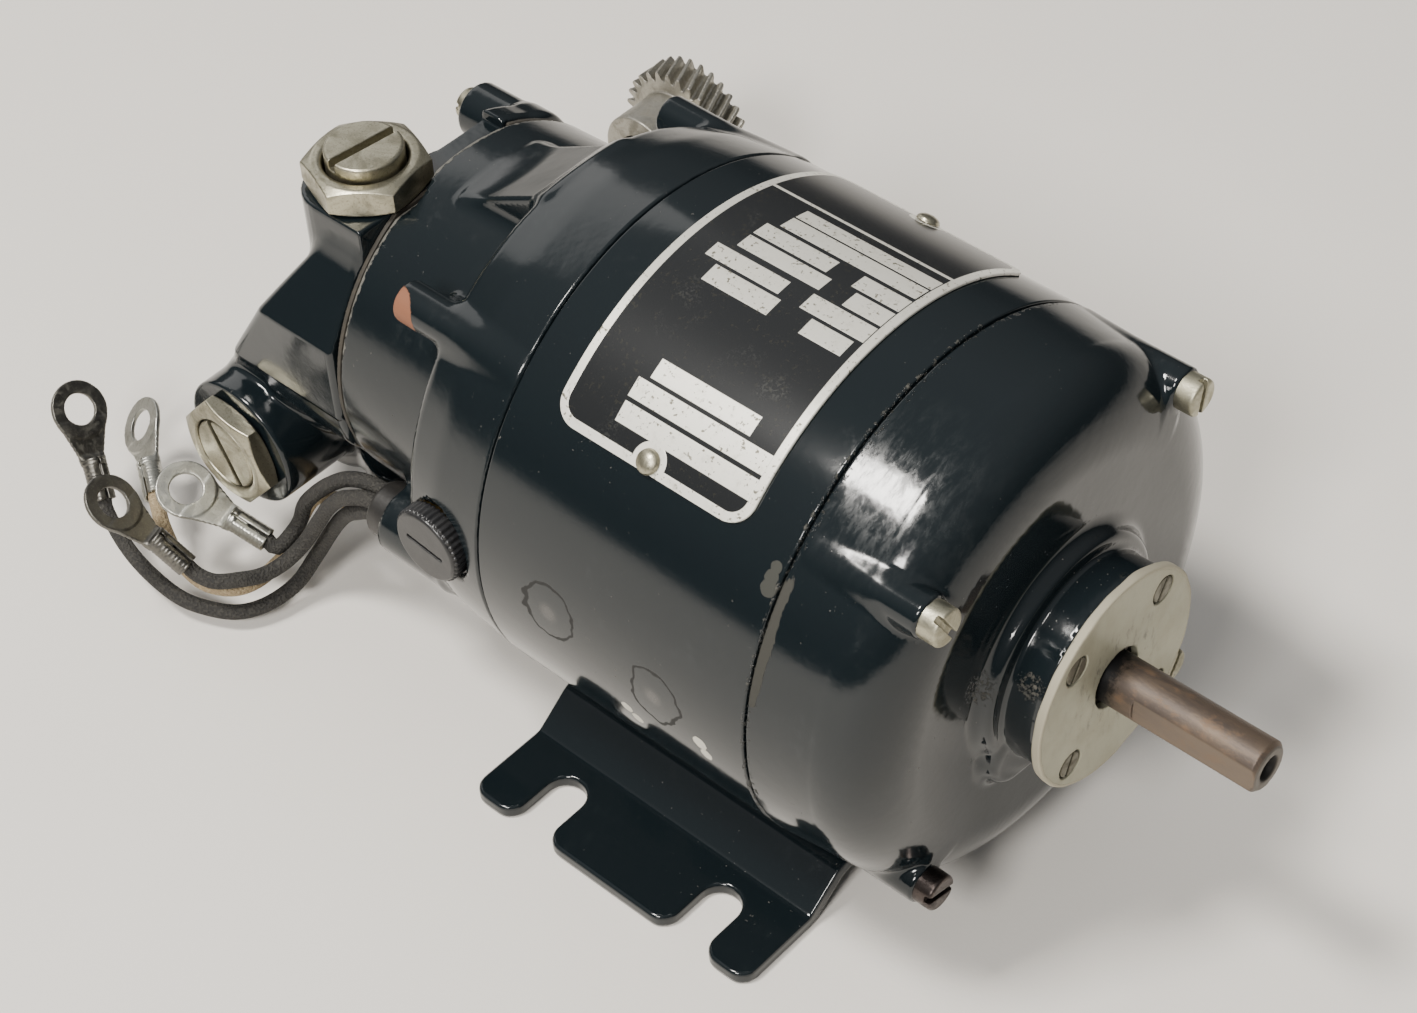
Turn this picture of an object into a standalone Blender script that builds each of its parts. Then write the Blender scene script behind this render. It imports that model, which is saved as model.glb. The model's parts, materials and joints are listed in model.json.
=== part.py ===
"""Right-angle gearmotor: a small brush motor with a double worm reducer on its rear end.

The sizes below are millimetres in the motor's own frame: x runs along the motor shaft from the
shell's rear seam towards the plain front shaft end, y goes across, and z is up from the shaft's
axis. The model itself is in metres, standing on z = 0, with the middle of its footprint at the
origin.
"""

import math

import bmesh
import bpy
from mathutils import Matrix, Vector

MM = 0.001

# Clearances
FIT = 0.25
RUNNING_FIT = 0.3
STEPS = 34
SMALL_STEPS = 20

# Stand and shell
AXIS_HEIGHT = 51.0
SHELL_DIAMETER = 85.7
SHELL_LENGTH = 50.8
SHELL_WALL = 1.2
SPIGOT_LENGTH = 3.0
SPIGOT_WALL = 1.8

# Base plate, a hat section with a saddle under the shell
BASE_LENGTH = 57.2
BASE_CENTRE_X = SHELL_LENGTH / 2 - 1.7
BASE_WIDTH = 93.2
BASE_THICKNESS = 2.5
BASE_BEND_Y = 31.0
BASE_WEB_Y = 24.0
BASE_SADDLE_HALF = 10.0
BASE_BEND_RADIUS = 3.0
SLOT_INSET = 12.45
SLOT_SPACING = BASE_LENGTH - 2 * SLOT_INSET
SLOT_WIDTH = 7.0
SLOT_DEPTH = 11.8
TAB_CORNER_RADIUS = 3.4
BASE_ROOM = 20.0

# Through-bolts, at 45 degrees round the shaft
BOLT_CIRCLE_RADIUS = 39.3
BOLT_DIAMETER = 4.17
BOLT_HEAD_DIAMETER = 5.8
BOLT_HEAD_HEIGHT = 2.7
BOLT_BOSS_RADIUS = 3.3
BOLT_SLOT_WIDTH = 1.0
BOLT_ANGLES = (45, 135, 225, 315)

# Front end shield
FRONT_STRAIGHT = 10.5
FRONT_TAPER = 1.0
FRONT_SHOULDER_LENGTH = 10.0
FRONT_FACE_RADIUS = 30.0
FRONT_WALL = 3.2
HUB_RADIUS = 16.2
HUB_COLLAR_RADIUS = 18.6
HUB_COLLAR_LENGTH = 2.6
HUB_LENGTH = 8.5
FRONT_BOSS_REACH = 19.8

# Front bearing cap and its screws
CAP_RADIUS = 17.45
CAP_THICKNESS = 1.4
CAP_BORE_RADIUS = 4.9
CAP_SCREW_CIRCLE = 13.8
CAP_SCREW_DIAMETER = 2.5
CAP_SCREW_HEAD_RADIUS = 2.1
CAP_SCREW_LENGTH = 6.0
CAP_SCREW_FIRST_ANGLE = 45.0

# Ball bearings
BEARING_OUTER_DIAMETER = 22.0
BEARING_WIDTH = 7.0
BEARING_LIP = 1.6

# Rear end shield with its neck
SKIRT_LENGTH = 17.6
SKIRT_END_RADIUS = 40.2
SKIRT_WALL = 3.2
NECK_LENGTH = 42.1
NECK_RADIUS = 30.7
NECK_WALL = 7.2
NECK_BORE_RADIUS = NECK_RADIUS - NECK_WALL
REAR_WEB_FRONT_X = -22.5
REAR_WEB_THICKNESS = 8.5
REAR_BOSS_END_X = -26.0
FAIRING_START_X = -34.0
FAIRING_HALF_WIDTH = 8.2
LEAD_BOSS_RADIUS = 5.8
LEAD_BOSS_END_X = -30.6
LEAD_BUSHING_RADIUS = 4.6
LEAD_BUSHING_BORE = 3.4
LEAD_BUSHING_END_X = -34.4
LEAD_BUSHING_CIRCLE = NECK_RADIUS + 5.1
LEAD_BUSHING_ANGLE = 208.5

# Armature
SHAFT_DIAMETER = 7.94
SHAFT_REACH = 56.1
SHAFT_END_X = SHELL_LENGTH + SHAFT_REACH
SHAFT_FLAT_LENGTH = 20.0
SHAFT_FLAT_DEPTH = 0.6
SHAFT_CORE_RADIUS = 5.0
STACK_START_X = 9.0
STACK_END_X = SHELL_LENGTH - 9.8
ARMATURE_RADIUS = 22.0
ARMATURE_SLOTS = 12
ARMATURE_SLOT_BOTTOM = 13.5
WINDING_OVERHANG = 6.5
COMMUTATOR_START_X = -16.5
COMMUTATOR_END_X = -3.5
COMMUTATOR_RADIUS = 11.0
COMMUTATOR_BARS = 18

# Field
POLE_BORE_GAP = 0.8
POLE_SHOE_THICKNESS = 4.0
POLE_SHOE_HALF_ANGLE = 52.0
POLE_NECK_HALF_WIDTH = 8.0
YOKE_INNER_RADIUS = 34.0
COIL_HALF_ANGLE = 38.0
COIL_OVERHANG = 6.0

# Brushes
BRUSH_X = -9.9
BRUSH_WIDTH = 6.0
BRUSH_LENGTH = 14.0
BRUSH_HOLDER_RADIUS = 5.6
BRUSH_HOLDER_BORE = 4.6
BRUSH_HOLDER_GAP = 1.6
BRUSH_SEAT_Y = 40.9
BRUSH_CAP_RADIUS = 6.3
BRUSH_CAP_HEIGHT = 3.2
BRUSH_CAP_SHANK = 5.0
BRUSH_CAP_SLOT = (1.1, 0.7)
BRUSH_CAP_SLOT_REACH = 0.6
BRUSH_BOSS_WALL = 1.8
BRUSH_BOSS_ROOT_Y = 33.0
BRUSH_BORE_START_Y = 21.0
KNURL_TEETH = 40
KNURL_DEPTH = 0.3
SPRING_WIRE_RADIUS = 0.35
SPRING_TURNS = 5

# Worm gearing, right hand, two starts on twenty teeth in each stage
WORM_STARTS = 2
WHEEL_TEETH = 20
FIRST_MODULE = 0.8
FIRST_WORM_PITCH_RADIUS = 4.1
SECOND_MODULE = 1.1
SECOND_WORM_PITCH_RADIUS = 4.8
FIRST_WORM_LENGTH = 16.0
SECOND_WORM_LENGTH = 14.0
FIRST_WHEEL_WIDTH = 5.0
SECOND_WHEEL_WIDTH = 6.0
INTERMEDIATE_X = -51.1
OUTPUT_DROP = 21.9
FIRST_CENTRES = FIRST_WORM_PITCH_RADIUS + FIRST_MODULE * WHEEL_TEETH / 2
SECOND_CENTRES = SECOND_WORM_PITCH_RADIUS + SECOND_MODULE * WHEEL_TEETH / 2
INTERMEDIATE_Y = -FIRST_CENTRES
OUTPUT_X = INTERMEDIATE_X - SECOND_CENTRES
OUTPUT_Z = -OUTPUT_DROP
MESH_BACKLASH = 0.3

# Intermediate shaft and its bushes
INTERMEDIATE_RADIUS = 3.0
INTERMEDIATE_JOURNAL_RADIUS = 2.6
BUSH_LENGTH = 7.0
BUSH_RADIUS = 5.3
TOP_BUSH_Z = 13.5

# Output shaft and its helical gear
OUTPUT_SHAFT_RADIUS = 3.97
OUTPUT_GEAR_TEETH = 28
OUTPUT_GEAR_PITCH = 32.0
OUTPUT_GEAR_FACE_Y = 77.0
OUTPUT_GEAR_WIDTH = 6.4
OUTPUT_GEAR_HELIX = 22.0
OUTPUT_GEAR_HAND = 1
OUTPUT_HUB_RADIUS = 8.0
OUTPUT_HUB_LENGTH = 9.5

# Gear housing
GASKET_THICKNESS = 0.8
FLANGE_THICKNESS = 5.6
NEAR_FACE_Y = 0.4 - NECK_RADIUS
NEAR_FACE_TOP_Z = 8.0
NEAR_FACE_BOTTOM_Z = -6.0
ROOF_TOP_Y = -21.7
ROOF_TOP_Z = 21.0
BLOCK_TOP_Z = 24.0
BLOCK_TOP_X = -50.5
BLOCK_BOTTOM_Z = -31.0
BLOCK_FAR_Y = 0.0
BLOCK_END_RADIUS = 11.3
NEAR_BOSS_RADIUS = 11.5
NEAR_BOSS_FACE_Y = NEAR_FACE_Y - 3.7
FAR_BOSS_RADIUS = 10.0
FAR_BOSS_FACE_Y = 31.0
PEDESTAL_HALF = 9.4
PEDESTAL_TOP_Z = 26.8
NOTCH_FAR_Y = 9.5
BOTTOM_BOSS_RADIUS = 7.6
BOTTOM_BOSS_Z = -40.0
HOUSING_WALL = 2.6
RIB_THICKNESS = 5.0
RIB_START_X = -60.0
RIB_FAR_Y = 24.0
WORM_ROOM_RADIUS = 6.0
WHEEL_ROOM_RADIUS = 9.6
LUG_RADIUS = 4.6
LUG_CIRCLE = NECK_RADIUS - 4.5
LUG_ANGLES = (50.0, -25.0, 199.4)
LUG_ENDS_X = (-58.0, -52.0, -62.0)
HOUSING_SCREW_RADIUS = 1.6
HOUSING_SCREW_HEAD_RADIUS = 2.7
HOUSING_SCREW_HEAD_HEIGHT = 2.2
HOUSING_SCREW_GRIP = 7.0

# Adjuster screws and jam nuts
ADJUSTER_DIAMETER = 12.7
TOP_ADJUSTER_LENGTH = 13.0
TOP_ADJUSTER_PROUD = 2.0
SIDE_ADJUSTER_RECESS = 0.25
SIDE_ADJUSTER_END_Y = INTERMEDIATE_Y - SECOND_WHEEL_WIDTH / 2 - 9.3
ADJUSTER_SLOT = (1.5, 1.6)
NUT_ACROSS_FLATS = 17.46
NUT_DISH = 0.8
NUT_CLEARANCE = 0.5
TOP_NUT_THICKNESS = 4.8
SIDE_NUT_THICKNESS = 3.4
TOP_NUT_ANGLE = 41.0
TOP_SLOT_ANGLE = 83.0
SIDE_NUT_ANGLE = 49.0
SIDE_SLOT_ANGLE = 116.0

# Nameplate, bent to the shell
PLATE_START_X = 7.5
PLATE_LENGTH = SHELL_LENGTH - 15.5
PLATE_LOW_ANGLE = 138.6
PLATE_HIGH_ANGLE = 48.0
PLATE_THICKNESS = 0.4
PLATE_CORNER_RADIUS = 4.0
PLATE_GAP = 0.15
RIVET_X = SHELL_LENGTH / 2 - 0.4
RIVET_ANGLES = (136.5, 50.2)
RIVET_HEAD_RADIUS = 1.9
RIVET_HEAD_HEIGHT = 1.1
RIVET_SHANK_RADIUS = 0.8

# Leads and ring terminals
LEAD_DIAMETER = 2.6
LEAD_TAIL = 14.0
LEAD_PITCH = 2.75
RING_OUTER_RADIUS = 5.0
RING_HOLE_RADIUS = 2.75
RING_THICKNESS = 0.8
BARREL_RADIUS = 2.1
BARREL_LENGTH = 7.6
BARREL_BORE = 1.45
BARREL_BORE_DEPTH = 4.0
BARREL_START = 8.4

# Each lead: its cell in the bushing, its way as far as its terminal, the mouth of the terminal's
# barrel, the way from there to the ring's eye, the direction that the ring faces, and its cover
LEAD_LAYS = (
    (
        (-1, -1),
        (
            (-41, -32.6, -22), (-47, -31, -28.5), (-52.2, -30, -36), (-55.4, -31.6, -42.5), (-56.2, -36, -46.2),
            (-57.4, -41.7, -47.3), (-60, -46.1, -47.4), (-64.8, -48.9, -47.2), (-69.6, -50.4, -46.6),
            (-76.6, -50.5, -45.6), (-83.2, -49.6, -44.3),
        ),
        (-90.8, -47.1, -40.5),
        (-0.63, 0.36, 0.69),
        (0.78, 0.05, 0.62),
        "rubber",
    ),
    (
        (1, -1),
        (
            (-41, -29.4, -21.2), (-46.5, -27, -26.8), (-51.5, -25.6, -32), (-57, -24.8, -35.4),
            (-61.8, -25.4, -38), (-62.2, -29.4, -41.6), (-60.9, -32.5, -43.6), (-60.6, -35.8, -44.4),
            (-60.1, -40.9, -44.2), (-61.2, -45.2, -43.3), (-65.3, -47.8, -42.4), (-71.5, -47.3, -41.6),
            (-78.3, -44.7, -40.6),
        ),
        (-83.9, -41.4, -39.5),
        (-0.86, 0.54, 0.15),
        (-0.36, -0.66, 0.66),
        "tan_cloth",
    ),
    (
        (-1, 1),
        (
            (-41, -33.6, -18), (-46.5, -33.2, -23.6), (-51, -32.9, -30.5), (-54.8, -33.9, -37.3),
            (-56.6, -37.2, -40.4), (-57.8, -41.2, -41), (-59.2, -45.1, -39.9), (-61.6, -47.9, -39.6),
        ),
        (-66.3, -49.2, -38.2),
        (-0.69, -0.23, 0.64),
        (0.66, 0.29, 0.70),
        "rubber",
    ),
    (
        (1, 1),
        (
            (-42, -30.7, -16.8), (-48.8, -31.1, -22), (-55.4, -31.5, -30), (-57.6, -32.3, -35.8),
        ),
        (-60.9, -36.6, -38.6),
        (-0.87, -0.27, 0.41),
        (0.58, -0.09, 0.84),
        "rubber",
    ),
)

SHELL_RADIUS = SHELL_DIAMETER / 2
SHELL_BORE = SHELL_RADIUS - SHELL_WALL
CORE_RADIUS = SHELL_BORE - FIT
GROUND_Z = -AXIS_HEIGHT
BEARING_RADIUS = BEARING_OUTER_DIAMETER / 2
ADJUSTER_RADIUS = ADJUSTER_DIAMETER / 2
FRONT_SEAM_X = SHELL_LENGTH + FIT
FRONT_FACE_X = FRONT_SEAM_X + FRONT_STRAIGHT + FRONT_SHOULDER_LENGTH
HUB_FACE_X = FRONT_FACE_X + HUB_LENGTH
CAP_FACE_X = HUB_FACE_X + FIT + CAP_THICKNESS
FRONT_BOSS_END_X = FRONT_SEAM_X + FRONT_BOSS_REACH
HOUSING_FRONT_X = -NECK_LENGTH - GASKET_THICKNESS - 2 * FIT
HOUSING_FLANGE_X = HOUSING_FRONT_X - FLANGE_THICKNESS
WORM_END_X = INTERMEDIATE_X - FIRST_WORM_LENGTH / 2
TOP_NUT_FACE_Z = PEDESTAL_TOP_Z + FIT + TOP_NUT_THICKNESS
SIDE_NUT_FACE_Y = NEAR_BOSS_FACE_Y - FIT - SIDE_NUT_THICKNESS
REAR_END_X = OUTPUT_X - SECOND_MODULE * (WHEEL_TEETH / 2 + 1) - 0.8 - HOUSING_WALL

# The origin is under the middle of the object's box, without its leads
ORIGIN_X = (SHAFT_END_X + REAR_END_X) / 2
ORIGIN_Y = (OUTPUT_GEAR_FACE_Y - BASE_WIDTH / 2) / 2

# Where each local axis goes, for a shape drawn with (u, v) across and w along the named axis
PLACES = {
    "X": lambda u, v, w: (w, u, v),
    "Y": lambda u, v, w: (u, w, v),
    "Z": lambda u, v, w: (u, v, w),
}

MATERIALS = {
    "black_enamel": ((0.006, 0.009, 0.011), 0.12, 0.0),
    "steel": ((0.42, 0.40, 0.37), 0.35, 1.0),
    "nickel": ((0.55, 0.50, 0.40), 0.30, 1.0),
    "worn_disc": ((0.60, 0.56, 0.47), 0.45, 1.0),
    "brass": ((0.70, 0.48, 0.20), 0.30, 1.0),
    "bronze": ((0.50, 0.32, 0.16), 0.40, 1.0),
    "copper": ((0.72, 0.33, 0.18), 0.35, 1.0),
    "bakelite": ((0.008, 0.007, 0.007), 0.35, 0.0),
    "carbon": ((0.03, 0.03, 0.03), 0.60, 0.0),
    "rubber": ((0.02, 0.02, 0.02), 0.70, 0.0),
    "gasket_paper": ((0.12, 0.11, 0.10), 0.85, 0.0),
    "tan_cloth": ((0.55, 0.40, 0.24), 0.85, 0.0),
}


def finish(name):
    """The material of this name, made when it is first asked for."""
    material = bpy.data.materials.get(name)
    if material is None:
        colour, roughness, metallic = MATERIALS[name]
        material = bpy.data.materials.new(name)
        material.use_nodes = True
        shader = material.node_tree.nodes["Principled BSDF"]
        shader.inputs["Base Color"].default_value = (*colour, 1.0)
        shader.inputs["Roughness"].default_value = roughness
        shader.inputs["Metallic"].default_value = metallic
    return material


def polar(radius, degrees):
    """The (y, z) of a point at this radius and angle round the motor shaft."""
    angle = math.radians(degrees)
    return radius * math.cos(angle), radius * math.sin(angle)


def arc(centre, radius, first, last, count):
    """Points on an arc of a circle, from the first angle to the last, in degrees."""
    points = []
    for step in range(count + 1):
        angle = math.radians(first + (last - first) * step / count)
        points.append((centre[0] + radius * math.cos(angle), centre[1] + radius * math.sin(angle)))
    return points


def close_up(shape):
    """The bmesh with its faces pointing out."""
    bmesh.ops.recalc_face_normals(shape, faces=shape.faces)
    return shape


def turned(outline, axis, centre=(0, 0, 0), steps=STEPS):
    """A closed outline of (along, radius) points turned about an axis through the centre."""
    shape = bmesh.new()
    place = PLACES[axis]
    rings = []
    for along, radius in outline:
        count = steps if radius > 0 else 1
        ring = []
        for step in range(count):
            angle = 2 * math.pi * step / count
            point = place(radius * math.cos(angle), radius * math.sin(angle), along)
            ring.append(shape.verts.new(Vector(point) + Vector(centre)))
        rings.append(ring)
    for this, following in zip(rings, rings[1:] + rings[:1]):
        for step in range(steps):
            corners = []
            for ring, index in ((this, step), (this, step + 1), (following, step + 1), (following, step)):
                corner = ring[index % len(ring)]
                if corner not in corners:
                    corners.append(corner)
            if len(corners) > 2:
                shape.faces.new(corners)
    return close_up(shape)


def rod(axis, centre, radius, start, end, steps=SMALL_STEPS):
    """A plain cylinder along an axis, from start to end."""
    return turned([(start, 0), (start, radius), (end, radius), (end, 0)], axis, centre, steps)


def stepped(axis, centre, bores, end, steps=SMALL_STEPS):
    """Cylinders one behind the other, given as (start, radius) pairs and the last one's end."""
    outline = [(bores[0][0], 0)]
    for (start, radius), following in zip(bores, [*bores[1:], (end, 0)]):
        outline += [(start, radius), (following[0], radius)]
    outline.append((end, 0))
    return turned(outline, axis, centre, steps)


def tube(axis, centre, outer, inner, start, end, steps=SMALL_STEPS):
    """A plain ring along an axis, from start to end."""
    return turned([(start, inner), (start, outer), (end, outer), (end, inner)], axis, centre, steps)


def extruded(outline, axis, start, end, centre=(0, 0, 0)):
    """A closed outline of (u, v) points pushed along an axis, from start to end."""
    shape = bmesh.new()
    place = PLACES[axis]
    near = [shape.verts.new(Vector(place(u, v, start)) + Vector(centre)) for u, v in outline]
    far = [shape.verts.new(Vector(place(u, v, end)) + Vector(centre)) for u, v in outline]
    shape.faces.new(near)
    shape.faces.new(reversed(far))
    for index in range(len(outline)):
        following = (index + 1) % len(outline)
        shape.faces.new((near[index], far[index], far[following], near[following]))
    return close_up(shape)


def block(low, high):
    """A box between two corners."""
    outline = [(low[0], low[1]), (high[0], low[1]), (high[0], high[1]), (low[0], high[1])]
    return extruded(outline, "Z", low[2], high[2])


def toothed(outline, axis, centre, start, end, turn=0.0, slices=1):
    """An outline of (degrees, radius) points pushed along an axis, turned evenly as it goes."""
    place = PLACES[axis]
    rings = []
    for piece in range(slices + 1):
        along = start + (end - start) * piece / slices
        ring = []
        for degrees, radius in outline:
            angle = math.radians(degrees + turn * piece / slices)
            point = place(radius * math.cos(angle), radius * math.sin(angle), along)
            ring.append(Vector(point) + Vector(centre))
        rings.append(ring)
    return lofted(rings)


def gathered(*shapes):
    """Several bodies in one bmesh, for use as one cutter."""
    whole = bmesh.new()
    for shape in shapes:
        loose = bpy.data.meshes.new("loose")
        shape.to_mesh(loose)
        whole.from_mesh(loose)
        bpy.data.meshes.remove(loose)
        shape.free()
    return whole


def place_object(name, shape, parent, origin):
    """An object for this bmesh, under its parent, with its origin at a point of the motor's frame."""
    shape.transform(Matrix.Translation(-Vector(origin)))
    shape.transform(Matrix.Scale(MM, 4))
    mesh = bpy.data.meshes.new(name)
    shape.to_mesh(mesh)
    shape.free()
    placed = bpy.data.objects.new(name, mesh)
    bpy.context.scene.collection.objects.link(placed)
    placed.parent = parent
    placed.location = Vector(origin) * MM
    return placed


def solid(name, shape, material, origin=(0, 0, 0)):
    """A sub-part: one named object with its material."""
    placed = place_object(name, shape, bpy.data.objects["motor_frame"], origin)
    placed.data.materials.append(finish(material))
    placed.data.shade_smooth()
    placed.data.set_sharp_from_angle(angle=math.radians(32))
    return placed


def combine(target, operation, shape):
    """Adds a Boolean of this shape to an object, through a hidden guide."""
    guide = place_object("guide", shape, bpy.data.objects["motor_frame"], (0, 0, 0))
    guide.hide_render = True
    guide.display_type = "WIRE"
    modifier = target.modifiers.new(operation.lower(), "BOOLEAN")
    modifier.operation = operation
    modifier.object = guide


def add(target, *shapes):
    """Joins shapes to a sub-part, one after another."""
    for shape in shapes:
        combine(target, "UNION", shape)


def cut(target, *shapes):
    """Takes shapes out of a sub-part, one after another."""
    for shape in shapes:
        combine(target, "DIFFERENCE", shape)


def rounded(corners, radii, steps=4):
    """A closed outline whose corners have fillets, where a radius of 0 leaves the corner sharp."""
    points = []
    for index, (corner, radius) in enumerate(zip(corners, radii)):
        here = Vector(corner)
        if radius == 0:
            points.append(tuple(here))
            continue
        before = (Vector(corners[index - 1]) - here).normalized()
        after = (Vector(corners[(index + 1) % len(corners)]) - here).normalized()
        half = before.angle(after) / 2
        middle = here + (before + after).normalized() * (radius / math.sin(half))
        first = here + before * (radius / math.tan(half)) - middle
        last = here + after * (radius / math.tan(half)) - middle
        sweep = first.angle_signed(last)
        for step in range(steps + 1):
            turn = Matrix.Rotation(-sweep * step / steps, 2)
            points.append(tuple(middle + turn @ first))
    return points


def strip(path, thickness):
    """The outline of a bent plate: an open path of (u, v) points given a thickness, half to each side."""
    sides = ([], [])
    for index, point in enumerate(path):
        before = Vector(path[max(index - 1, 0)])
        after = Vector(path[min(index + 1, len(path) - 1)])
        along = (after - before).normalized()
        normal = Vector((-along.y, along.x)) * thickness / 2
        sides[0].append(tuple(Vector(point) + normal))
        sides[1].append(tuple(Vector(point) - normal))
    return sides[0] + sides[1][::-1]


def rolled(shape, degrees):
    """The shape turned about the motor shaft, from upright to an angle measured from +y."""
    shape.transform(Matrix.Rotation(math.radians(degrees - 90), 4, "X"))
    return shape


def base_path():
    """The bent plate's middle line across the motor, from one edge to the other."""
    ground = GROUND_Z + BASE_THICKNESS / 2
    saddle = SHELL_RADIUS + FIT + BASE_THICKNESS / 2
    half_angle = math.degrees(math.asin(BASE_SADDLE_HALF / saddle))
    web_z = -saddle - 0.2
    half = [(BASE_WEB_Y, web_z), (BASE_BEND_Y, ground), (BASE_WIDTH / 2, ground)]
    bends = rounded([(0, web_z), *half], [0, BASE_BEND_RADIUS, BASE_BEND_RADIUS, 0], 3)[1:]
    mirrored = [(-y, z) for y, z in reversed(bends)]
    return mirrored + arc((0, 0), saddle, -90 - half_angle, -90 + half_angle, 6) + bends


def base_plan():
    """The base seen from above: rounded tabs and four slots open at the long edges."""
    left = BASE_CENTRE_X - BASE_LENGTH / 2
    right = BASE_CENTRE_X + BASE_LENGTH / 2
    edge = BASE_WIDTH / 2
    near = [(left, -edge)]
    radii = [TAB_CORNER_RADIUS]
    for middle in (BASE_CENTRE_X - SLOT_SPACING / 2, BASE_CENTRE_X + SLOT_SPACING / 2):
        for x, y in ((-1, 0), (-1, 1), (1, 1), (1, 0)):
            near.append((middle + x * SLOT_WIDTH / 2, -edge + y * SLOT_DEPTH))
        radii += [TAB_CORNER_RADIUS, SLOT_WIDTH / 2 - 0.02, SLOT_WIDTH / 2 - 0.02, TAB_CORNER_RADIUS]
    near.append((right, -edge))
    radii.append(TAB_CORNER_RADIUS)
    far = [(x, -y) for x, y in reversed(near)]
    return rounded(near + far, radii + radii[::-1])


def make_base():
    """Foot plate: a hat section with a saddle under the shell, cut to its plan."""
    length = BASE_LENGTH / 2 + 1
    plate = extruded(strip(base_path(), BASE_THICKNESS), "X", BASE_CENTRE_X - length, BASE_CENTRE_X + length)
    base = solid("base_plate", plate, "black_enamel")
    combine(base, "INTERSECT", extruded(base_plan(), "Z", GROUND_Z - 5, GROUND_Z + BASE_ROOM))


def bolt_rods(radius, start, end, steps=SMALL_STEPS // 2):
    """Four rods along the motor, on the through-bolts' circle."""
    rods = []
    for angle in BOLT_ANGLES:
        y, z = polar(BOLT_CIRCLE_RADIUS, angle)
        rods.append(rod("X", (0, y, z), radius, start, end, steps))
    return gathered(*rods)


def make_shell():
    """Rolled steel tube round the field."""
    ring = tube("X", (0, 0, 0), SHELL_RADIUS, SHELL_BORE, 0, SHELL_LENGTH, STEPS)
    shell = solid("motor_shell", ring, "black_enamel")
    cut(shell, rivet_rods(RIVET_SHANK_RADIUS + FIT))


def make_front_shield():
    """Cast front end shield: domed cup, hub for the bearing, and bosses under the bolt heads."""
    shoulder = (FRONT_SEAM_X + FRONT_STRAIGHT, FRONT_FACE_RADIUS)
    rise = SHELL_RADIUS - FRONT_TAPER - FRONT_FACE_RADIUS
    dome = []
    hollow = []
    for along, radius in arc((0, 0), 1.0, 90, 0, 5):
        dome.append((shoulder[0] + FRONT_SHOULDER_LENGTH * along, shoulder[1] + rise * radius))
    for along, radius in arc((0, 0), 1.0, 0, 90, 2):
        hollow_length = FRONT_SHOULDER_LENGTH - FRONT_WALL
        hollow.append((shoulder[0] + hollow_length * along, shoulder[1] + (rise - FRONT_WALL) * radius))
    inner_face_x = FRONT_FACE_X - FRONT_WALL
    seat_x = HUB_FACE_X - BEARING_WIDTH - FIT
    collar_x = FRONT_FACE_X + HUB_COLLAR_LENGTH
    spigot_inner = CORE_RADIUS - SPIGOT_WALL
    outline = [(FRONT_SEAM_X, SHELL_RADIUS), *dome]
    outline += [(FRONT_FACE_X - 0.5, HUB_COLLAR_RADIUS + 2), (FRONT_FACE_X, HUB_COLLAR_RADIUS)]
    outline += [(collar_x, HUB_COLLAR_RADIUS - 0.8), (collar_x, HUB_RADIUS), (HUB_FACE_X, HUB_RADIUS)]
    outline += [(HUB_FACE_X, BEARING_RADIUS + FIT), (seat_x, BEARING_RADIUS + FIT)]
    outline += [(seat_x, BEARING_RADIUS - BEARING_LIP), (inner_face_x, BEARING_RADIUS - BEARING_LIP)]
    outline += [*hollow, (FRONT_SEAM_X + FIT, spigot_inner), (FRONT_SEAM_X - SPIGOT_LENGTH, spigot_inner)]
    outline += [(FRONT_SEAM_X - SPIGOT_LENGTH, CORE_RADIUS), (FRONT_SEAM_X, CORE_RADIUS)]
    shield = solid("front_end_shield", turned(outline, "X"), "black_enamel")
    add(shield, bolt_rods(BOLT_BOSS_RADIUS, FRONT_SEAM_X + 1, FRONT_BOSS_END_X))
    hole = BOLT_DIAMETER / 2 + FIT
    cut(shield, bolt_rods(hole, FRONT_SEAM_X - SPIGOT_LENGTH - 1, FRONT_BOSS_END_X + 1))
    depth = HUB_FACE_X - CAP_SCREW_LENGTH - FIT
    cut(shield, cap_screw_bores([(depth, CAP_SCREW_DIAMETER / 2 + FIT)], HUB_FACE_X + 1))


def cap_screw_bores(bores, end):
    """Four stepped rods where the bearing cap's screws go."""
    rods = []
    for index in range(4):
        y, z = polar(CAP_SCREW_CIRCLE, CAP_SCREW_FIRST_ANGLE + 90 * index)
        rods.append(stepped("X", (0, y, z), bores, end, 10))
    return gathered(*rods)


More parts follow.
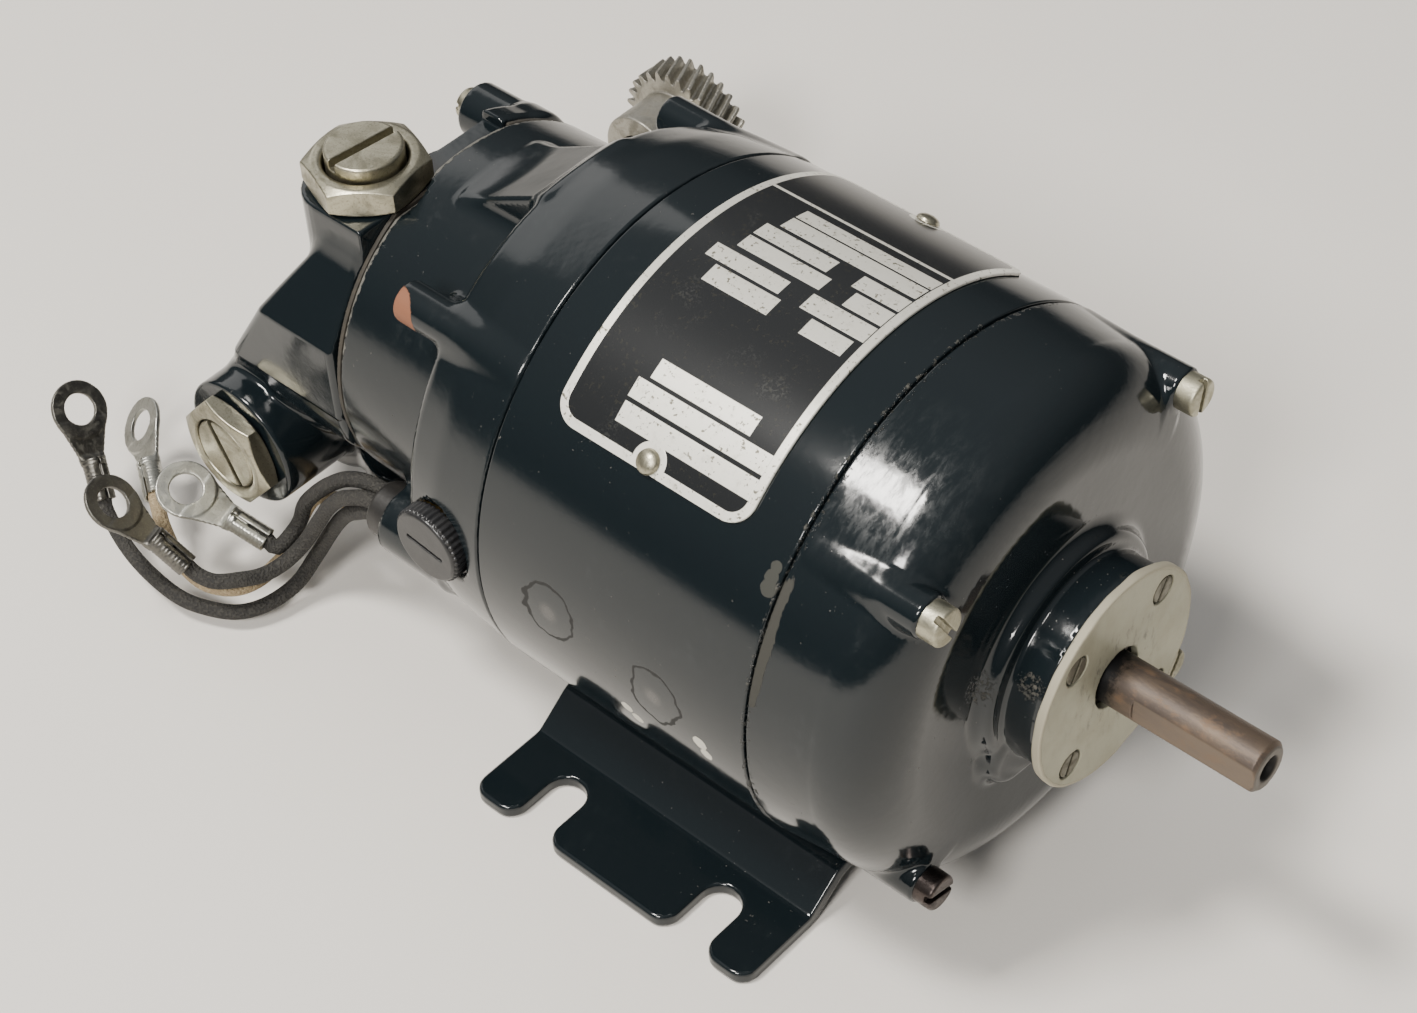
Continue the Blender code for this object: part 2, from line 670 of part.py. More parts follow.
def make_bearing_cap():
    """Bright disc that keeps the front bearing, and its four slotted screws."""
    back = HUB_FACE_X + FIT
    ring = tube("X", (0, 0, 0), CAP_RADIUS, CAP_BORE_RADIUS, back, CAP_FACE_X, STEPS)
    cap = solid("front_bearing_cap", ring, "worn_disc")
    head_seat = CAP_FACE_X - CAP_THICKNESS * 0.6
    bores = [(back - 1, CAP_SCREW_DIAMETER / 2 + FIT), (head_seat, CAP_SCREW_HEAD_RADIUS + FIT)]
    cut(cap, cap_screw_bores(bores, CAP_FACE_X + 1))
    for index in range(4):
        y, z = polar(CAP_SCREW_CIRCLE, CAP_SCREW_FIRST_ANGLE + 90 * index)
        head_back = head_seat + 0.15
        shank_end = CAP_FACE_X - CAP_SCREW_LENGTH
        shank = CAP_SCREW_DIAMETER / 2
        outline = [(shank_end, 0), (shank_end, shank), (head_back, shank), (head_back, CAP_SCREW_HEAD_RADIUS)]
        outline += [(CAP_FACE_X, CAP_SCREW_HEAD_RADIUS), (CAP_FACE_X, 0)]
        name = f"bearing_cap_screw_{index + 1}"
        screw = solid(name, turned(outline, "X", (0, y, z), 12), "steel")
        reach = CAP_SCREW_HEAD_RADIUS + 1
        cut(screw, block((CAP_FACE_X - 0.4, y - 0.3, z - reach), (CAP_FACE_X + 1, y + 0.3, z + reach)))


def make_through_bolts():
    """Four long slotted bolts that clamp both end shields on the shell."""
    seat = FRONT_BOSS_END_X + FIT
    face = seat + BOLT_HEAD_HEIGHT
    shank = BOLT_DIAMETER / 2
    head = BOLT_HEAD_DIAMETER / 2
    end = REAR_BOSS_END_X + 3
    for index, angle in enumerate(BOLT_ANGLES):
        y, z = polar(BOLT_CIRCLE_RADIUS, angle)
        outline = [(end, 0), (end, shank), (seat, shank), (seat, head), (face - 0.4, head), (face, head - 0.4)]
        outline.append((face, 0))
        bolt = solid(f"through_bolt_{index + 1}", turned(outline, "X", (0, y, z), 12), "nickel")
        half = BOLT_SLOT_WIDTH / 2
        cut(bolt, block((face - 1, y - half, z - head - 1), (face + 1, y + half, z + head + 1)))


def make_bearings():
    """Ball bearings, each shown as one ring."""
    seat = HUB_FACE_X - BEARING_WIDTH
    bore = SHAFT_DIAMETER / 2 + RUNNING_FIT
    front = tube("X", (0, 0, 0), BEARING_RADIUS, bore, seat, HUB_FACE_X, STEPS // 2)
    solid("front_ball_bearing", front, "steel")
    back = rear_seat_x() + FIT
    bore = SHAFT_CORE_RADIUS + RUNNING_FIT
    rear = tube("X", (0, 0, 0), BEARING_RADIUS, bore, back, back + BEARING_WIDTH, STEPS // 2)
    solid("rear_ball_bearing", rear, "steel")


def rear_seat_x():
    """Where the rear bearing's outer ring rests on its lip."""
    return REAR_WEB_FRONT_X - REAR_WEB_THICKNESS + BEARING_LIP


def make_rear_shield():
    """Cast rear end shield: skirt, neck towards the gears, and the web that holds the rear bearing."""
    web_back = REAR_WEB_FRONT_X - REAR_WEB_THICKNESS
    spigot_inner = CORE_RADIUS - SPIGOT_WALL
    skirt_inner = SKIRT_END_RADIUS - SKIRT_WALL
    edge = arc((-SKIRT_LENGTH + 2.5, SKIRT_END_RADIUS - 2.5), 2.5, 78, 180, 2)
    outline = [(-FIT, SHELL_RADIUS), (-SKIRT_LENGTH * 0.55, SHELL_RADIUS - 0.9), *edge]
    outline += [(-SKIRT_LENGTH - 1.2, NECK_RADIUS + 2.2), (-SKIRT_LENGTH - 3.6, NECK_RADIUS + 0.4)]
    outline += [(-NECK_LENGTH, NECK_RADIUS), (-NECK_LENGTH, NECK_BORE_RADIUS), (web_back, NECK_BORE_RADIUS)]
    outline += [(web_back, BEARING_RADIUS - BEARING_LIP), (rear_seat_x(), BEARING_RADIUS - BEARING_LIP)]
    outline += [(rear_seat_x(), BEARING_RADIUS + FIT), (REAR_WEB_FRONT_X, BEARING_RADIUS + FIT)]
    outline += [(REAR_WEB_FRONT_X, NECK_BORE_RADIUS + 1), (-SKIRT_LENGTH + 0.5, NECK_BORE_RADIUS + 6)]
    outline += [(-SKIRT_LENGTH + SKIRT_WALL, skirt_inner), (-FIT * 2, spigot_inner)]
    outline.append((SPIGOT_LENGTH, spigot_inner))
    outline += [(SPIGOT_LENGTH, CORE_RADIUS), (-FIT, CORE_RADIUS)]
    shield = solid("rear_end_shield", turned(outline, "X"), "black_enamel")
    top = SKIRT_END_RADIUS - 0.9
    root = NECK_RADIUS - 2.5
    ramp = [(FAIRING_START_X, NECK_RADIUS - 0.9), (-SKIRT_LENGTH + 1.5, top), (-SKIRT_LENGTH + 1.5, root)]
    ramp.append((FAIRING_START_X, root))
    add(shield, extruded(ramp, "Y", -FAIRING_HALF_WIDTH, FAIRING_HALF_WIDTH))
    add(shield, bolt_rods(BOLT_BOSS_RADIUS, -0.8, REAR_BOSS_END_X, 12))
    lead_y, lead_z = polar(LEAD_BUSHING_CIRCLE, LEAD_BUSHING_ANGLE)
    lead_start = -SKIRT_LENGTH + SKIRT_WALL / 2
    add(shield, rod("X", (0, lead_y, lead_z), LEAD_BOSS_RADIUS, LEAD_BOSS_END_X, lead_start))
    seat = (BRUSH_X, 0, 0)
    for side in (-1, 1):
        start = side * BRUSH_BOSS_ROOT_Y
        add(shield, rod("Y", seat, BRUSH_HOLDER_RADIUS + BRUSH_BOSS_WALL, start, side * (BRUSH_SEAT_Y - 1), 26))
    for side in (-1, 1):
        bores = [(side * BRUSH_BORE_START_Y, BRUSH_HOLDER_RADIUS + FIT)]
        bores.append((side * BRUSH_SEAT_Y, BRUSH_CAP_RADIUS + 0.5))
        cut(shield, stepped("Y", seat, bores, side * (BRUSH_SEAT_Y + 6)))
    cut(shield, bolt_rods(BOLT_DIAMETER / 2 + FIT, SPIGOT_LENGTH + 1, REAR_BOSS_END_X + 1.5))
    bushing = LEAD_BUSHING_RADIUS + FIT
    cut(shield, rod("X", (0, lead_y, lead_z), bushing, LEAD_BOSS_END_X - 1, -SKIRT_LENGTH + SKIRT_WALL + 3, 17))
    nut_room = NUT_ACROSS_FLATS / math.sqrt(3) + NUT_CLEARANCE
    vertical = (INTERMEDIATE_X, INTERMEDIATE_Y, 0)
    cut(shield, rod("Z", vertical, nut_room, PEDESTAL_TOP_Z, PEDESTAL_TOP_Z + 10))
    tapped_end = HOUSING_SCREW_GRIP - NECK_LENGTH
    cut(shield, housing_screw_rods(HOUSING_SCREW_RADIUS + FIT, -NECK_LENGTH - 1, tapped_end))


def make_lead_bushing():
    """Rubber bushing that the four leads come out of."""
    y, z = polar(LEAD_BUSHING_CIRCLE, LEAD_BUSHING_ANGLE)
    start = -SKIRT_LENGTH + SKIRT_WALL
    bushing = tube("X", (0, y, z), LEAD_BUSHING_RADIUS, LEAD_BUSHING_BORE, LEAD_BUSHING_END_X, start, 20)
    solid("lead_bushing", bushing, "rubber")


def make_field():
    """Laminated field core with two poles, and a coil round each pole."""
    ring = tube("X", (0, 0, 0), CORE_RADIUS, YOKE_INNER_RADIUS, STACK_START_X, STACK_END_X, STEPS)
    core = solid("field_core", ring, "steel")
    bore = ARMATURE_RADIUS + POLE_BORE_GAP
    shoe = bore + POLE_SHOE_THICKNESS
    neck = math.degrees(math.asin(POLE_NECK_HALF_WIDTH / shoe))
    for side in (90, 270):
        low = side - POLE_SHOE_HALF_ANGLE
        high = side + POLE_SHOE_HALF_ANGLE
        outline = arc((0, 0), bore, low, high, 10)
        outline += arc((0, 0), shoe, high, side + neck, 3)
        root = math.sqrt((YOKE_INNER_RADIUS + 1.5) ** 2 - POLE_NECK_HALF_WIDTH**2)
        sign = math.copysign(1, 180 - side)
        outline += [(-sign * POLE_NECK_HALF_WIDTH, sign * root), (sign * POLE_NECK_HALF_WIDTH, sign * root)]
        outline += arc((0, 0), shoe, side - neck, low, 3)
        add(core, extruded(outline, "X", STACK_START_X, STACK_END_X))
    cut(core, bolt_rods(BOLT_DIAMETER / 2 + FIT, STACK_START_X - 1, STACK_END_X + 1))
    for index, side in enumerate((90, 270)):
        solid(f"field_coil_{index + 1}", field_coil(side, shoe), "copper")


def field_coil(side, shoe):
    """A coil bent to the yoke: a rectangular frame round the pole's neck."""
    low = shoe + 0.8
    high = YOKE_INNER_RADIUS - 0.5
    window = math.degrees(math.asin((POLE_NECK_HALF_WIDTH + 0.5) / low))
    loops = []
    for half_angle, overhang, radius in (
        (COIL_HALF_ANGLE, COIL_OVERHANG, low),
        (COIL_HALF_ANGLE, COIL_OVERHANG, high),
        (window, FIT, high),
        (window, FIT, low),
    ):
        start = STACK_START_X - overhang
        end = STACK_END_X + overhang
        across = [side - half_angle + half_angle * step / 3 for step in range(7)]
        loop = [(start, *polar(radius, degrees)) for degrees in across]
        loop += [(end, *polar(radius, degrees)) for degrees in reversed(across)]
        loops.append(loop)
    shape = bmesh.new()
    rings = [[shape.verts.new(point) for point in loop] for loop in loops]
    count = len(rings[0])
    for this, following in zip(rings, rings[1:] + rings[:1]):
        for index in range(count):
            after = (index + 1) % count
            shape.faces.new((this[index], this[after], following[after], following[index]))
    return close_up(shape)


def worm(axis, centre, module, pitch_radius, middle, length, facing):
    """A right-hand worm whose thread crest, at its middle, faces the wheel's gap."""
    pitch = math.pi * module
    lead = pitch * WORM_STARTS
    tip = pitch_radius + module
    root = pitch_radius - 1.25 * module
    period = 360 / WORM_STARTS
    crest = (0.5 - MESH_BACKLASH) / 2 * period
    foot = crest + 0.14 * period
    outline = []
    for start in range(WORM_STARTS):
        turn = start * period
        for degrees, radius in ((-foot, root), (-crest, tip), (0, tip), (crest, tip), (foot, root)):
            outline.append((turn + degrees, radius))
        outline.append((turn + period / 2, root))
    sweep = 360 * length / lead
    first = facing - sweep / 2
    turned_outline = [(degrees + first, radius) for degrees, radius in outline]
    slices = round(9 * length / lead)
    return toothed(turned_outline, axis, centre, middle - length / 2, middle + length / 2, sweep, slices)


def wheel_outline(teeth, pitch_radius, module, tip_share, root_share, first):
    """Points of a toothed wheel, four to a tooth, from the angle of a gap's middle."""
    outline = []
    step = 360 / teeth
    tip = pitch_radius + module
    root = pitch_radius - 1.25 * module
    for tooth in range(teeth):
        middle = first + (tooth + 0.5) * step
        for degrees, radius in ((-root_share, root), (-tip_share, tip), (tip_share, tip), (root_share, root)):
            outline.append((middle + degrees * step, radius))
    return outline


def worm_wheel(axis, centre, module, worm_pitch_radius, middle, width, facing, hand):
    """A helical wheel cut to suit its worm, still without its bore, with a gap that faces the worm."""
    pitch_radius = module * WHEEL_TEETH / 2
    slope = WORM_STARTS * module / (2 * worm_pitch_radius)
    sweep = hand * math.degrees(slope * width / pitch_radius)
    outline = wheel_outline(WHEEL_TEETH, pitch_radius, module, 0.12, 0.3, facing - sweep / 2)
    start = middle - width / 2
    return toothed(outline, axis, centre, start, start + width, sweep, 2)


def make_armature():
    """Motor shaft with its worm, and the laminated core, winding and commutator that it carries."""
    worm_front = WORM_END_X + FIRST_WORM_LENGTH
    radius = SHAFT_DIAMETER / 2
    shoulder = HUB_FACE_X - BEARING_WIDTH - FIT - 0.5
    outline = [(worm_front, 0), (worm_front, SHAFT_CORE_RADIUS), (shoulder, SHAFT_CORE_RADIUS)]
    outline.append((shoulder, radius))
    outline += [(SHAFT_END_X - 0.7, radius), (SHAFT_END_X, radius - 0.7), (SHAFT_END_X, 1.1)]
    outline.append((SHAFT_END_X - 0.9, 0))
    shaft = solid("motor_shaft", turned(outline, "X", (0, 0, 0), 32), "steel")
    thread = worm("X", (0, 0, 0), FIRST_MODULE, FIRST_WORM_PITCH_RADIUS, INTERMEDIATE_X, FIRST_WORM_LENGTH + 1, 180)
    add(shaft, thread)
    flat_start = SHAFT_END_X - SHAFT_FLAT_LENGTH
    flat_y = SHAFT_FLAT_DEPTH - radius
    cut(shaft, block((flat_start, -radius - 1, -radius - 1), (SHAFT_END_X + 1, flat_y, radius + 1)))
    bore = SHAFT_CORE_RADIUS + FIT
    slot = 360 / ARMATURE_SLOTS
    core_outline = []
    for index in range(ARMATURE_SLOTS):
        middle = index * slot
        for degrees, reach in ((-0.38, ARMATURE_RADIUS), (0, ARMATURE_RADIUS), (0.38, ARMATURE_RADIUS)):
            core_outline.append((middle + degrees * slot, reach))
        for degrees in (0.38, 0.62):
            core_outline.append((middle + degrees * slot, ARMATURE_SLOT_BOTTOM))
    hole = rod("X", (0, 0, 0), bore, COMMUTATOR_START_X - 1, STACK_END_X + 1)
    core = toothed(core_outline, "X", (0, 0, 0), STACK_START_X, STACK_END_X)
    cut(solid("armature_core", core, "steel"), hole)
    make_winding(bore, slot)
    bar = 360 / COMMUTATOR_BARS
    bars = []
    for index in range(COMMUTATOR_BARS):
        middle = index * bar
        for degrees, reach in ((-0.44, 0), (0.44, 0), (0.44, 0.8), (0.56, 0.8)):
            bars.append((middle + degrees * bar, COMMUTATOR_RADIUS - reach))
    commutator = toothed(bars, "X", (0, 0, 0), COMMUTATOR_START_X, COMMUTATOR_END_X)
    hole = rod("X", (0, 0, 0), bore, COMMUTATOR_START_X - 1, STACK_END_X + 1)
    cut(solid("commutator", commutator, "copper"), hole)


def make_winding(bore, slot):
    """Armature winding: an end ring at each side, joined by the wires in the slots."""
    low = STACK_START_X - FIT
    high = STACK_END_X + FIT
    inner = bore + 1.2
    outer = ARMATURE_RADIUS - 2.5
    profile = [(0, inner), (0, outer), (-0.6, outer), (-1, outer - 3), (-1, inner + 2), (-0.8, inner)]
    near = [(low + WINDING_OVERHANG * along, radius) for along, radius in profile]
    far = [(high - WINDING_OVERHANG * along, radius) for along, radius in profile]
    winding = solid("armature_winding", turned(near, "X", (0, 0, 0), 16), "copper")
    bars = []
    for index in range(ARMATURE_SLOTS):
        bar = block((low - 1, -0.6, ARMATURE_SLOT_BOTTOM + 0.6), (high + 1, 0.6, outer - 1))
        bars.append(rolled(bar, (index + 0.5) * slot))
    add(winding, gathered(*bars), turned(far, "X", (0, 0, 0), 16))


def spring(axis, centre, radius, start, end):
    """A coil spring: a round wire wound evenly between two faces."""
    place = PLACES[axis]
    shape = bmesh.new()
    steps = SPRING_TURNS * 7
    sides = 4
    rings = []
    travel = end - start
    pitch = travel / SPRING_TURNS
    for step in range(steps + 1):
        share = step / steps
        angle = 2 * math.pi * SPRING_TURNS * share
        inset = math.copysign(SPRING_WIRE_RADIUS, travel)
        along = start + inset + (travel - 2 * inset) * share
        ring = []
        for side in range(sides):
            around = 2 * math.pi * side / sides
            out = radius + SPRING_WIRE_RADIUS * math.cos(around)
            lift = SPRING_WIRE_RADIUS * math.sin(around)
            point = place(out * math.cos(angle), out * math.sin(angle), along + lift)
            ring.append(shape.verts.new(Vector(point) + Vector(centre)))
        rings.append(ring)
    for this, following in zip(rings, rings[1:]):
        for side in range(sides):
            after = (side + 1) % sides
            shape.faces.new((this[side], this[after], following[after], following[side]))
    shape.faces.new(rings[0])
    shape.faces.new(rings[-1])
    return close_up(shape)


def make_brush_gear(side, name):
    """Holder, brush, spring and knurled cap on one side of the commutator."""
    centre = (BRUSH_X, 0, 0)
    start = side * (COMMUTATOR_RADIUS + BRUSH_HOLDER_GAP)
    holder = tube("Y", centre, BRUSH_HOLDER_RADIUS, BRUSH_HOLDER_BORE, start, side * (BRUSH_SEAT_Y - FIT))
    solid(f"brush_holder_{name}", holder, "brass")
    half = BRUSH_WIDTH / 2
    face = COMMUTATOR_RADIUS + RUNNING_FIT
    ends = sorted((side * face, side * (face + BRUSH_LENGTH)))
    brush = block((BRUSH_X - half, ends[0], -half), (BRUSH_X + half, ends[1], half))
    solid(f"brush_{name}", brush, "carbon")
    seat = BRUSH_SEAT_Y + FIT
    shank_end = seat - BRUSH_CAP_SHANK
    low = side * (face + BRUSH_LENGTH + FIT)
    coil = spring("Y", centre, BRUSH_WIDTH / 2, low, side * (shank_end - FIT))
    solid(f"brush_spring_{name}", coil, "steel")
    knurl = []
    for tooth in range(KNURL_TEETH):
        for share, depth in ((0.0, KNURL_DEPTH), (0.5, 0.0)):
            knurl.append(((tooth + share) * 360 / KNURL_TEETH, BRUSH_CAP_RADIUS - depth))
    outer_face = seat + BRUSH_CAP_HEIGHT
    cap = toothed(knurl, "Y", centre, side * seat, side * (outer_face - 0.5))
    cap = solid(f"brush_cap_{name}", cap, "bakelite")
    rim = BRUSH_CAP_RADIUS - KNURL_DEPTH - 0.1
    crown = [(outer_face - 1, 0), (outer_face - 1, rim), (outer_face - 0.4, rim), (outer_face, rim - 0.4)]
    crown.append((outer_face, 0))
    add(cap, turned([(side * along, radius) for along, radius in crown], "Y", centre, SMALL_STEPS))
    shank = BRUSH_HOLDER_BORE - FIT
    add(cap, rod("Y", centre, shank, side * shank_end, side * (seat + 0.5), 16))
    width, depth = BRUSH_CAP_SLOT
    ends = sorted((side * (outer_face - depth), side * (outer_face + 1)))
    reach = BRUSH_CAP_RADIUS * BRUSH_CAP_SLOT_REACH
    cut(cap, block((BRUSH_X - reach, ends[0], -width / 2), (BRUSH_X + reach, ends[1], width / 2)))


def lofted(rings):
    """A closed body through rings of points that all have the same count."""
    shape = bmesh.new()
    loops = [[shape.verts.new(point) for point in ring] for ring in rings]
    count = len(loops[0])
    for this, following in zip(loops, loops[1:]):
        for index in range(count):
            after = (index + 1) % count
            shape.faces.new((this[index], this[after], following[after], following[index]))
    shape.faces.new(loops[0])
    shape.faces.new(loops[-1])
    return close_up(shape)


def housing_section():
    """The gear housing seen along the motor: round, with a flat near face and a sloping roof."""
    radius = NECK_RADIUS - 0.2
    roof = math.degrees(math.atan2(ROOF_TOP_Z, ROOF_TOP_Y))
    low = math.degrees(math.asin(NEAR_FACE_BOTTOM_Z / radius))
    flat = [(NEAR_FACE_Y, NEAR_FACE_BOTTOM_Z), (NEAR_FACE_Y, NEAR_FACE_TOP_Z)]
    return flat + arc((0, 0), radius, roof, -180 - low, 24)


def housing_side():
    """The gear housing seen across the motor: flange, straight roof, and the round wheel end."""
    reach = Vector((OUTPUT_X - BLOCK_TOP_X, OUTPUT_Z - BLOCK_TOP_Z))
    lean = math.degrees(math.asin(BLOCK_END_RADIUS / reach.length))
    heading = math.degrees(math.atan2(reach.y, reach.x))
    outline = [(HOUSING_FRONT_X, -NECK_RADIUS - 1), (HOUSING_FRONT_X, NECK_RADIUS + 1)]
    outline += [(HOUSING_FLANGE_X, NECK_RADIUS + 1), (HOUSING_FLANGE_X, BLOCK_TOP_Z)]
    outline.append((BLOCK_TOP_X, BLOCK_TOP_Z))
    outline += arc((OUTPUT_X, OUTPUT_Z), BLOCK_END_RADIUS, heading - lean + 270, 270, 10)
    outline += [(HOUSING_FLANGE_X, BLOCK_BOTTOM_Z), (HOUSING_FLANGE_X, -NECK_RADIUS - 1)]
    return outline


def top_notch(front_x):
    """The room for the top jam nut, above the pedestal's face."""
    near_y = INTERMEDIATE_Y - PEDESTAL_HALF - 3
    return block((INTERMEDIATE_X - PEDESTAL_HALF - 2, near_y, PEDESTAL_TOP_Z), (front_x, NOTCH_FAR_Y, PEDESTAL_TOP_Z + 20))


def housing_screw_rods(radius, start, end):
    """Three rods where the housing screws go."""
    rods = []
    for angle in LUG_ANGLES:
        y, z = polar(LUG_CIRCLE, angle)
        rods.append(rod("X", (0, y, z), radius, start, end, 12))
    return gathered(*rods)


def make_gear_housing():
    """Cast housing over both worm stages: flange, near block, wheel drum, bosses and pedestal."""
    body = extruded(housing_section(), "X", REAR_END_X, HOUSING_FRONT_X)
    housing = solid("gear_housing", body, "black_enamel")
    combine(housing, "INTERSECT", extruded(housing_side(), "Y", -NECK_RADIUS - 5, NECK_RADIUS + 5))
    reach = NECK_RADIUS + 10
    cut(housing, block((REAR_END_X - 5, BLOCK_FAR_Y, -reach), (HOUSING_FLANGE_X, reach, reach)))
    output = (OUTPUT_X, 0, OUTPUT_Z)
    vertical = (INTERMEDIATE_X, INTERMEDIATE_Y, 0)
    wheel_radius = SECOND_MODULE * (WHEEL_TEETH / 2 + 1)
    room = SECOND_WHEEL_WIDTH / 2 + 1.2
    room_near = INTERMEDIATE_Y - room
    room_far = INTERMEDIATE_Y + room
    drum_radius = wheel_radius + 0.8 + HOUSING_WALL
    add(housing, rod("Y", output, drum_radius, room_near - 1.35, room_far + 1.4, 38))
    add(housing, rod("Y", output, NEAR_BOSS_RADIUS, NEAR_BOSS_FACE_Y, room_near + 1, 32))
    add(housing, rod("Y", output, FAR_BOSS_RADIUS, room_far - 0.5, FAR_BOSS_FACE_Y, 26))
    rib_end = HOUSING_FLANGE_X + 1
    rib_z = OUTPUT_Z - RIB_THICKNESS / 2
    add(housing, block((RIB_START_X, BLOCK_FAR_Y - 1, rib_z), (rib_end, RIB_FAR_Y, rib_z + RIB_THICKNESS)))
    low_x = INTERMEDIATE_X - PEDESTAL_HALF
    near_y = INTERMEDIATE_Y - PEDESTAL_HALF
    far_y = INTERMEDIATE_Y + PEDESTAL_HALF
    front_x = HOUSING_FRONT_X - 0.1
    corners = [(front_x, near_y), (low_x, near_y), (low_x, far_y), (front_x, far_y)]
    pedestal = extruded(rounded(corners, [0, 7.0, 9.0, 0], 5), "Z", 0.5, PEDESTAL_TOP_Z)
    add(housing, pedestal)
    add(housing, rod("Z", vertical, BOTTOM_BOSS_RADIUS, BOTTOM_BOSS_Z, BLOCK_BOTTOM_Z + 6, 32))
    cover_radius = WORM_ROOM_RADIUS + 1.6
    add(housing, rod("X", (0, 0, 0), cover_radius, WORM_END_X - 2.4, HOUSING_FLANGE_X + 1, 28))
    for angle, lug_end in zip(LUG_ANGLES, LUG_ENDS_X):
        add(housing, rod("X", (0, *polar(LUG_CIRCLE, angle)), LUG_RADIUS, lug_end, HOUSING_FRONT_X - 0.1, 16))
    cut(housing, top_notch(HOUSING_FRONT_X + 5))
    worm_end = WORM_END_X - 0.8
    openings = [(worm_end, WORM_ROOM_RADIUS), (HOUSING_FLANGE_X + 1.5, NECK_BORE_RADIUS)]
    cut(housing, stepped("X", (0, 0, 0), openings, HOUSING_FRONT_X + 5, STEPS))
    thread = ADJUSTER_RADIUS + FIT
    worm_floor = OUTPUT_Z - SECOND_WORM_LENGTH / 2 - 0.8
    bores = [(BOTTOM_BOSS_Z + 2, BUSH_RADIUS + FIT)]
    bores.append((worm_floor, SECOND_WORM_PITCH_RADIUS + SECOND_MODULE + 0.6))
    bores += [(-FIRST_WHEEL_WIDTH / 2 - 3.5, WHEEL_ROOM_RADIUS)]
    bores.append((FIRST_WHEEL_WIDTH / 2 + 1.5, INTERMEDIATE_RADIUS + 0.8))
    bores += [(TOP_BUSH_Z - 0.5, BUSH_RADIUS + FIT), (TOP_BUSH_Z + BUSH_LENGTH + 0.2, thread)]
    cut(housing, stepped("Z", vertical, bores, PEDESTAL_TOP_Z + 1, 22))
    bores = [(NEAR_BOSS_FACE_Y - 1, thread), (room_near, wheel_radius + 0.8)]
    bores.append((room_far, OUTPUT_SHAFT_RADIUS + 1))
    bores += [(FAR_BOSS_FACE_Y - BUSH_LENGTH - 0.8, thread)]
    cut(housing, stepped("Y", output, bores, FAR_BOSS_FACE_Y + 1, 28))
    cutters = []
    for angle, lug_end in zip(LUG_ANGLES, LUG_ENDS_X):
        centre = (0, *polar(LUG_CIRCLE, angle))
        bores = [(REAR_END_X - 5, HOUSING_SCREW_HEAD_RADIUS + 0.5), (lug_end, HOUSING_SCREW_RADIUS + FIT)]
        cutters.append(stepped("X", centre, bores, HOUSING_FRONT_X + 5, 12))
    cut(housing, gathered(*cutters))


def make_gasket():
    """Paper gasket between the neck and the gear housing."""
    back = -NECK_LENGTH - FIT - GASKET_THICKNESS
    ring = tube("X", (0, 0, 0), NECK_RADIUS - 0.3, NECK_BORE_RADIUS + 0.2, back, back + GASKET_THICKNESS, STEPS)
    gasket = solid("housing_gasket", ring, "gasket_paper")
    cut(gasket, housing_screw_rods(HOUSING_SCREW_RADIUS + FIT, back - 1, -NECK_LENGTH))
    cut(gasket, top_notch(-NECK_LENGTH))


def make_housing_screws():
    """Three slotted screws that hold the gear housing on the neck."""
    front = HOUSING_SCREW_GRIP - NECK_LENGTH - 0.5
    for index, (angle, lug_end) in enumerate(zip(LUG_ANGLES, LUG_ENDS_X)):
        y, z = polar(LUG_CIRCLE, angle)
        seat = lug_end - FIT
        top = seat - HOUSING_SCREW_HEAD_HEIGHT
        head = HOUSING_SCREW_HEAD_RADIUS
        outline = [(front, 0), (front, HOUSING_SCREW_RADIUS), (seat, HOUSING_SCREW_RADIUS), (seat, head)]
        outline += [(top + 0.6, head), (top, head - 0.8), (top, 0)]
        screw = solid(f"housing_screw_{index + 1}", turned(outline, "X", (0, y, z), 14), "steel")
        cut(screw, block((top - 1, y - 4, z - 0.4), (top + 0.8, y + 4, z + 0.4)))


def adjuster(name, axis, centre, inner, face, slot_angle):
    """A slotted adjuster screw, from its inner end to its slotted face along the axis."""
    way = math.copysign(1, face - inner)
    outline = [(inner, 0), (inner, ADJUSTER_RADIUS - 0.6), (inner + way * 0.6, ADJUSTER_RADIUS)]
    outline += [(face - way * 0.5, ADJUSTER_RADIUS), (face, ADJUSTER_RADIUS - 0.5), (face, 0)]
    screw = solid(name, turned(outline, axis, centre, 28), "nickel")
    width, depth = ADJUSTER_SLOT
    ends = sorted((face - way * depth, face + way))
    reach = ADJUSTER_RADIUS + 1
    bar = [(-reach, -width / 2), (reach, -width / 2), (reach, width / 2), (-reach, width / 2)]
    turn = Matrix.Rotation(math.radians(slot_angle), 2)
    cut(screw, extruded([tuple(turn @ Vector(point)) for point in bar], axis, *ends, centre))


def jam_nut(name, axis, centre, seat, face, first):
    """A hexagon nut with both edges chamfered and its face a little dished."""
    corner = NUT_ACROSS_FLATS / math.sqrt(3)
    flat = NUT_ACROSS_FLATS / 2
    ends = sorted((seat, face))
    way = math.copysign(1, face - seat)
    hexagon = arc((0, 0), corner, first, first + 300, 5)
    nut = solid(name, extruded(hexagon, axis, *ends, centre), "nickel")
    crown = [(ends[0], 0), (ends[0], flat - 0.3), (ends[0] + 0.75, corner), (ends[1] - 0.75, corner)]
    crown += [(ends[1], flat - 0.3), (ends[1], 0)]
    combine(nut, "INTERSECT", turned(crown, axis, centre, 18))
    cut(nut, rod(axis, centre, ADJUSTER_RADIUS + FIT, ends[0] - 1, ends[1] + 1, 28))
    above = face + way * 0.1
    dish = [(above, 0), (above, ADJUSTER_RADIUS + NUT_DISH), (face - way * 0.5, 0)]
    cut(nut, turned(dish, axis, centre, 28))


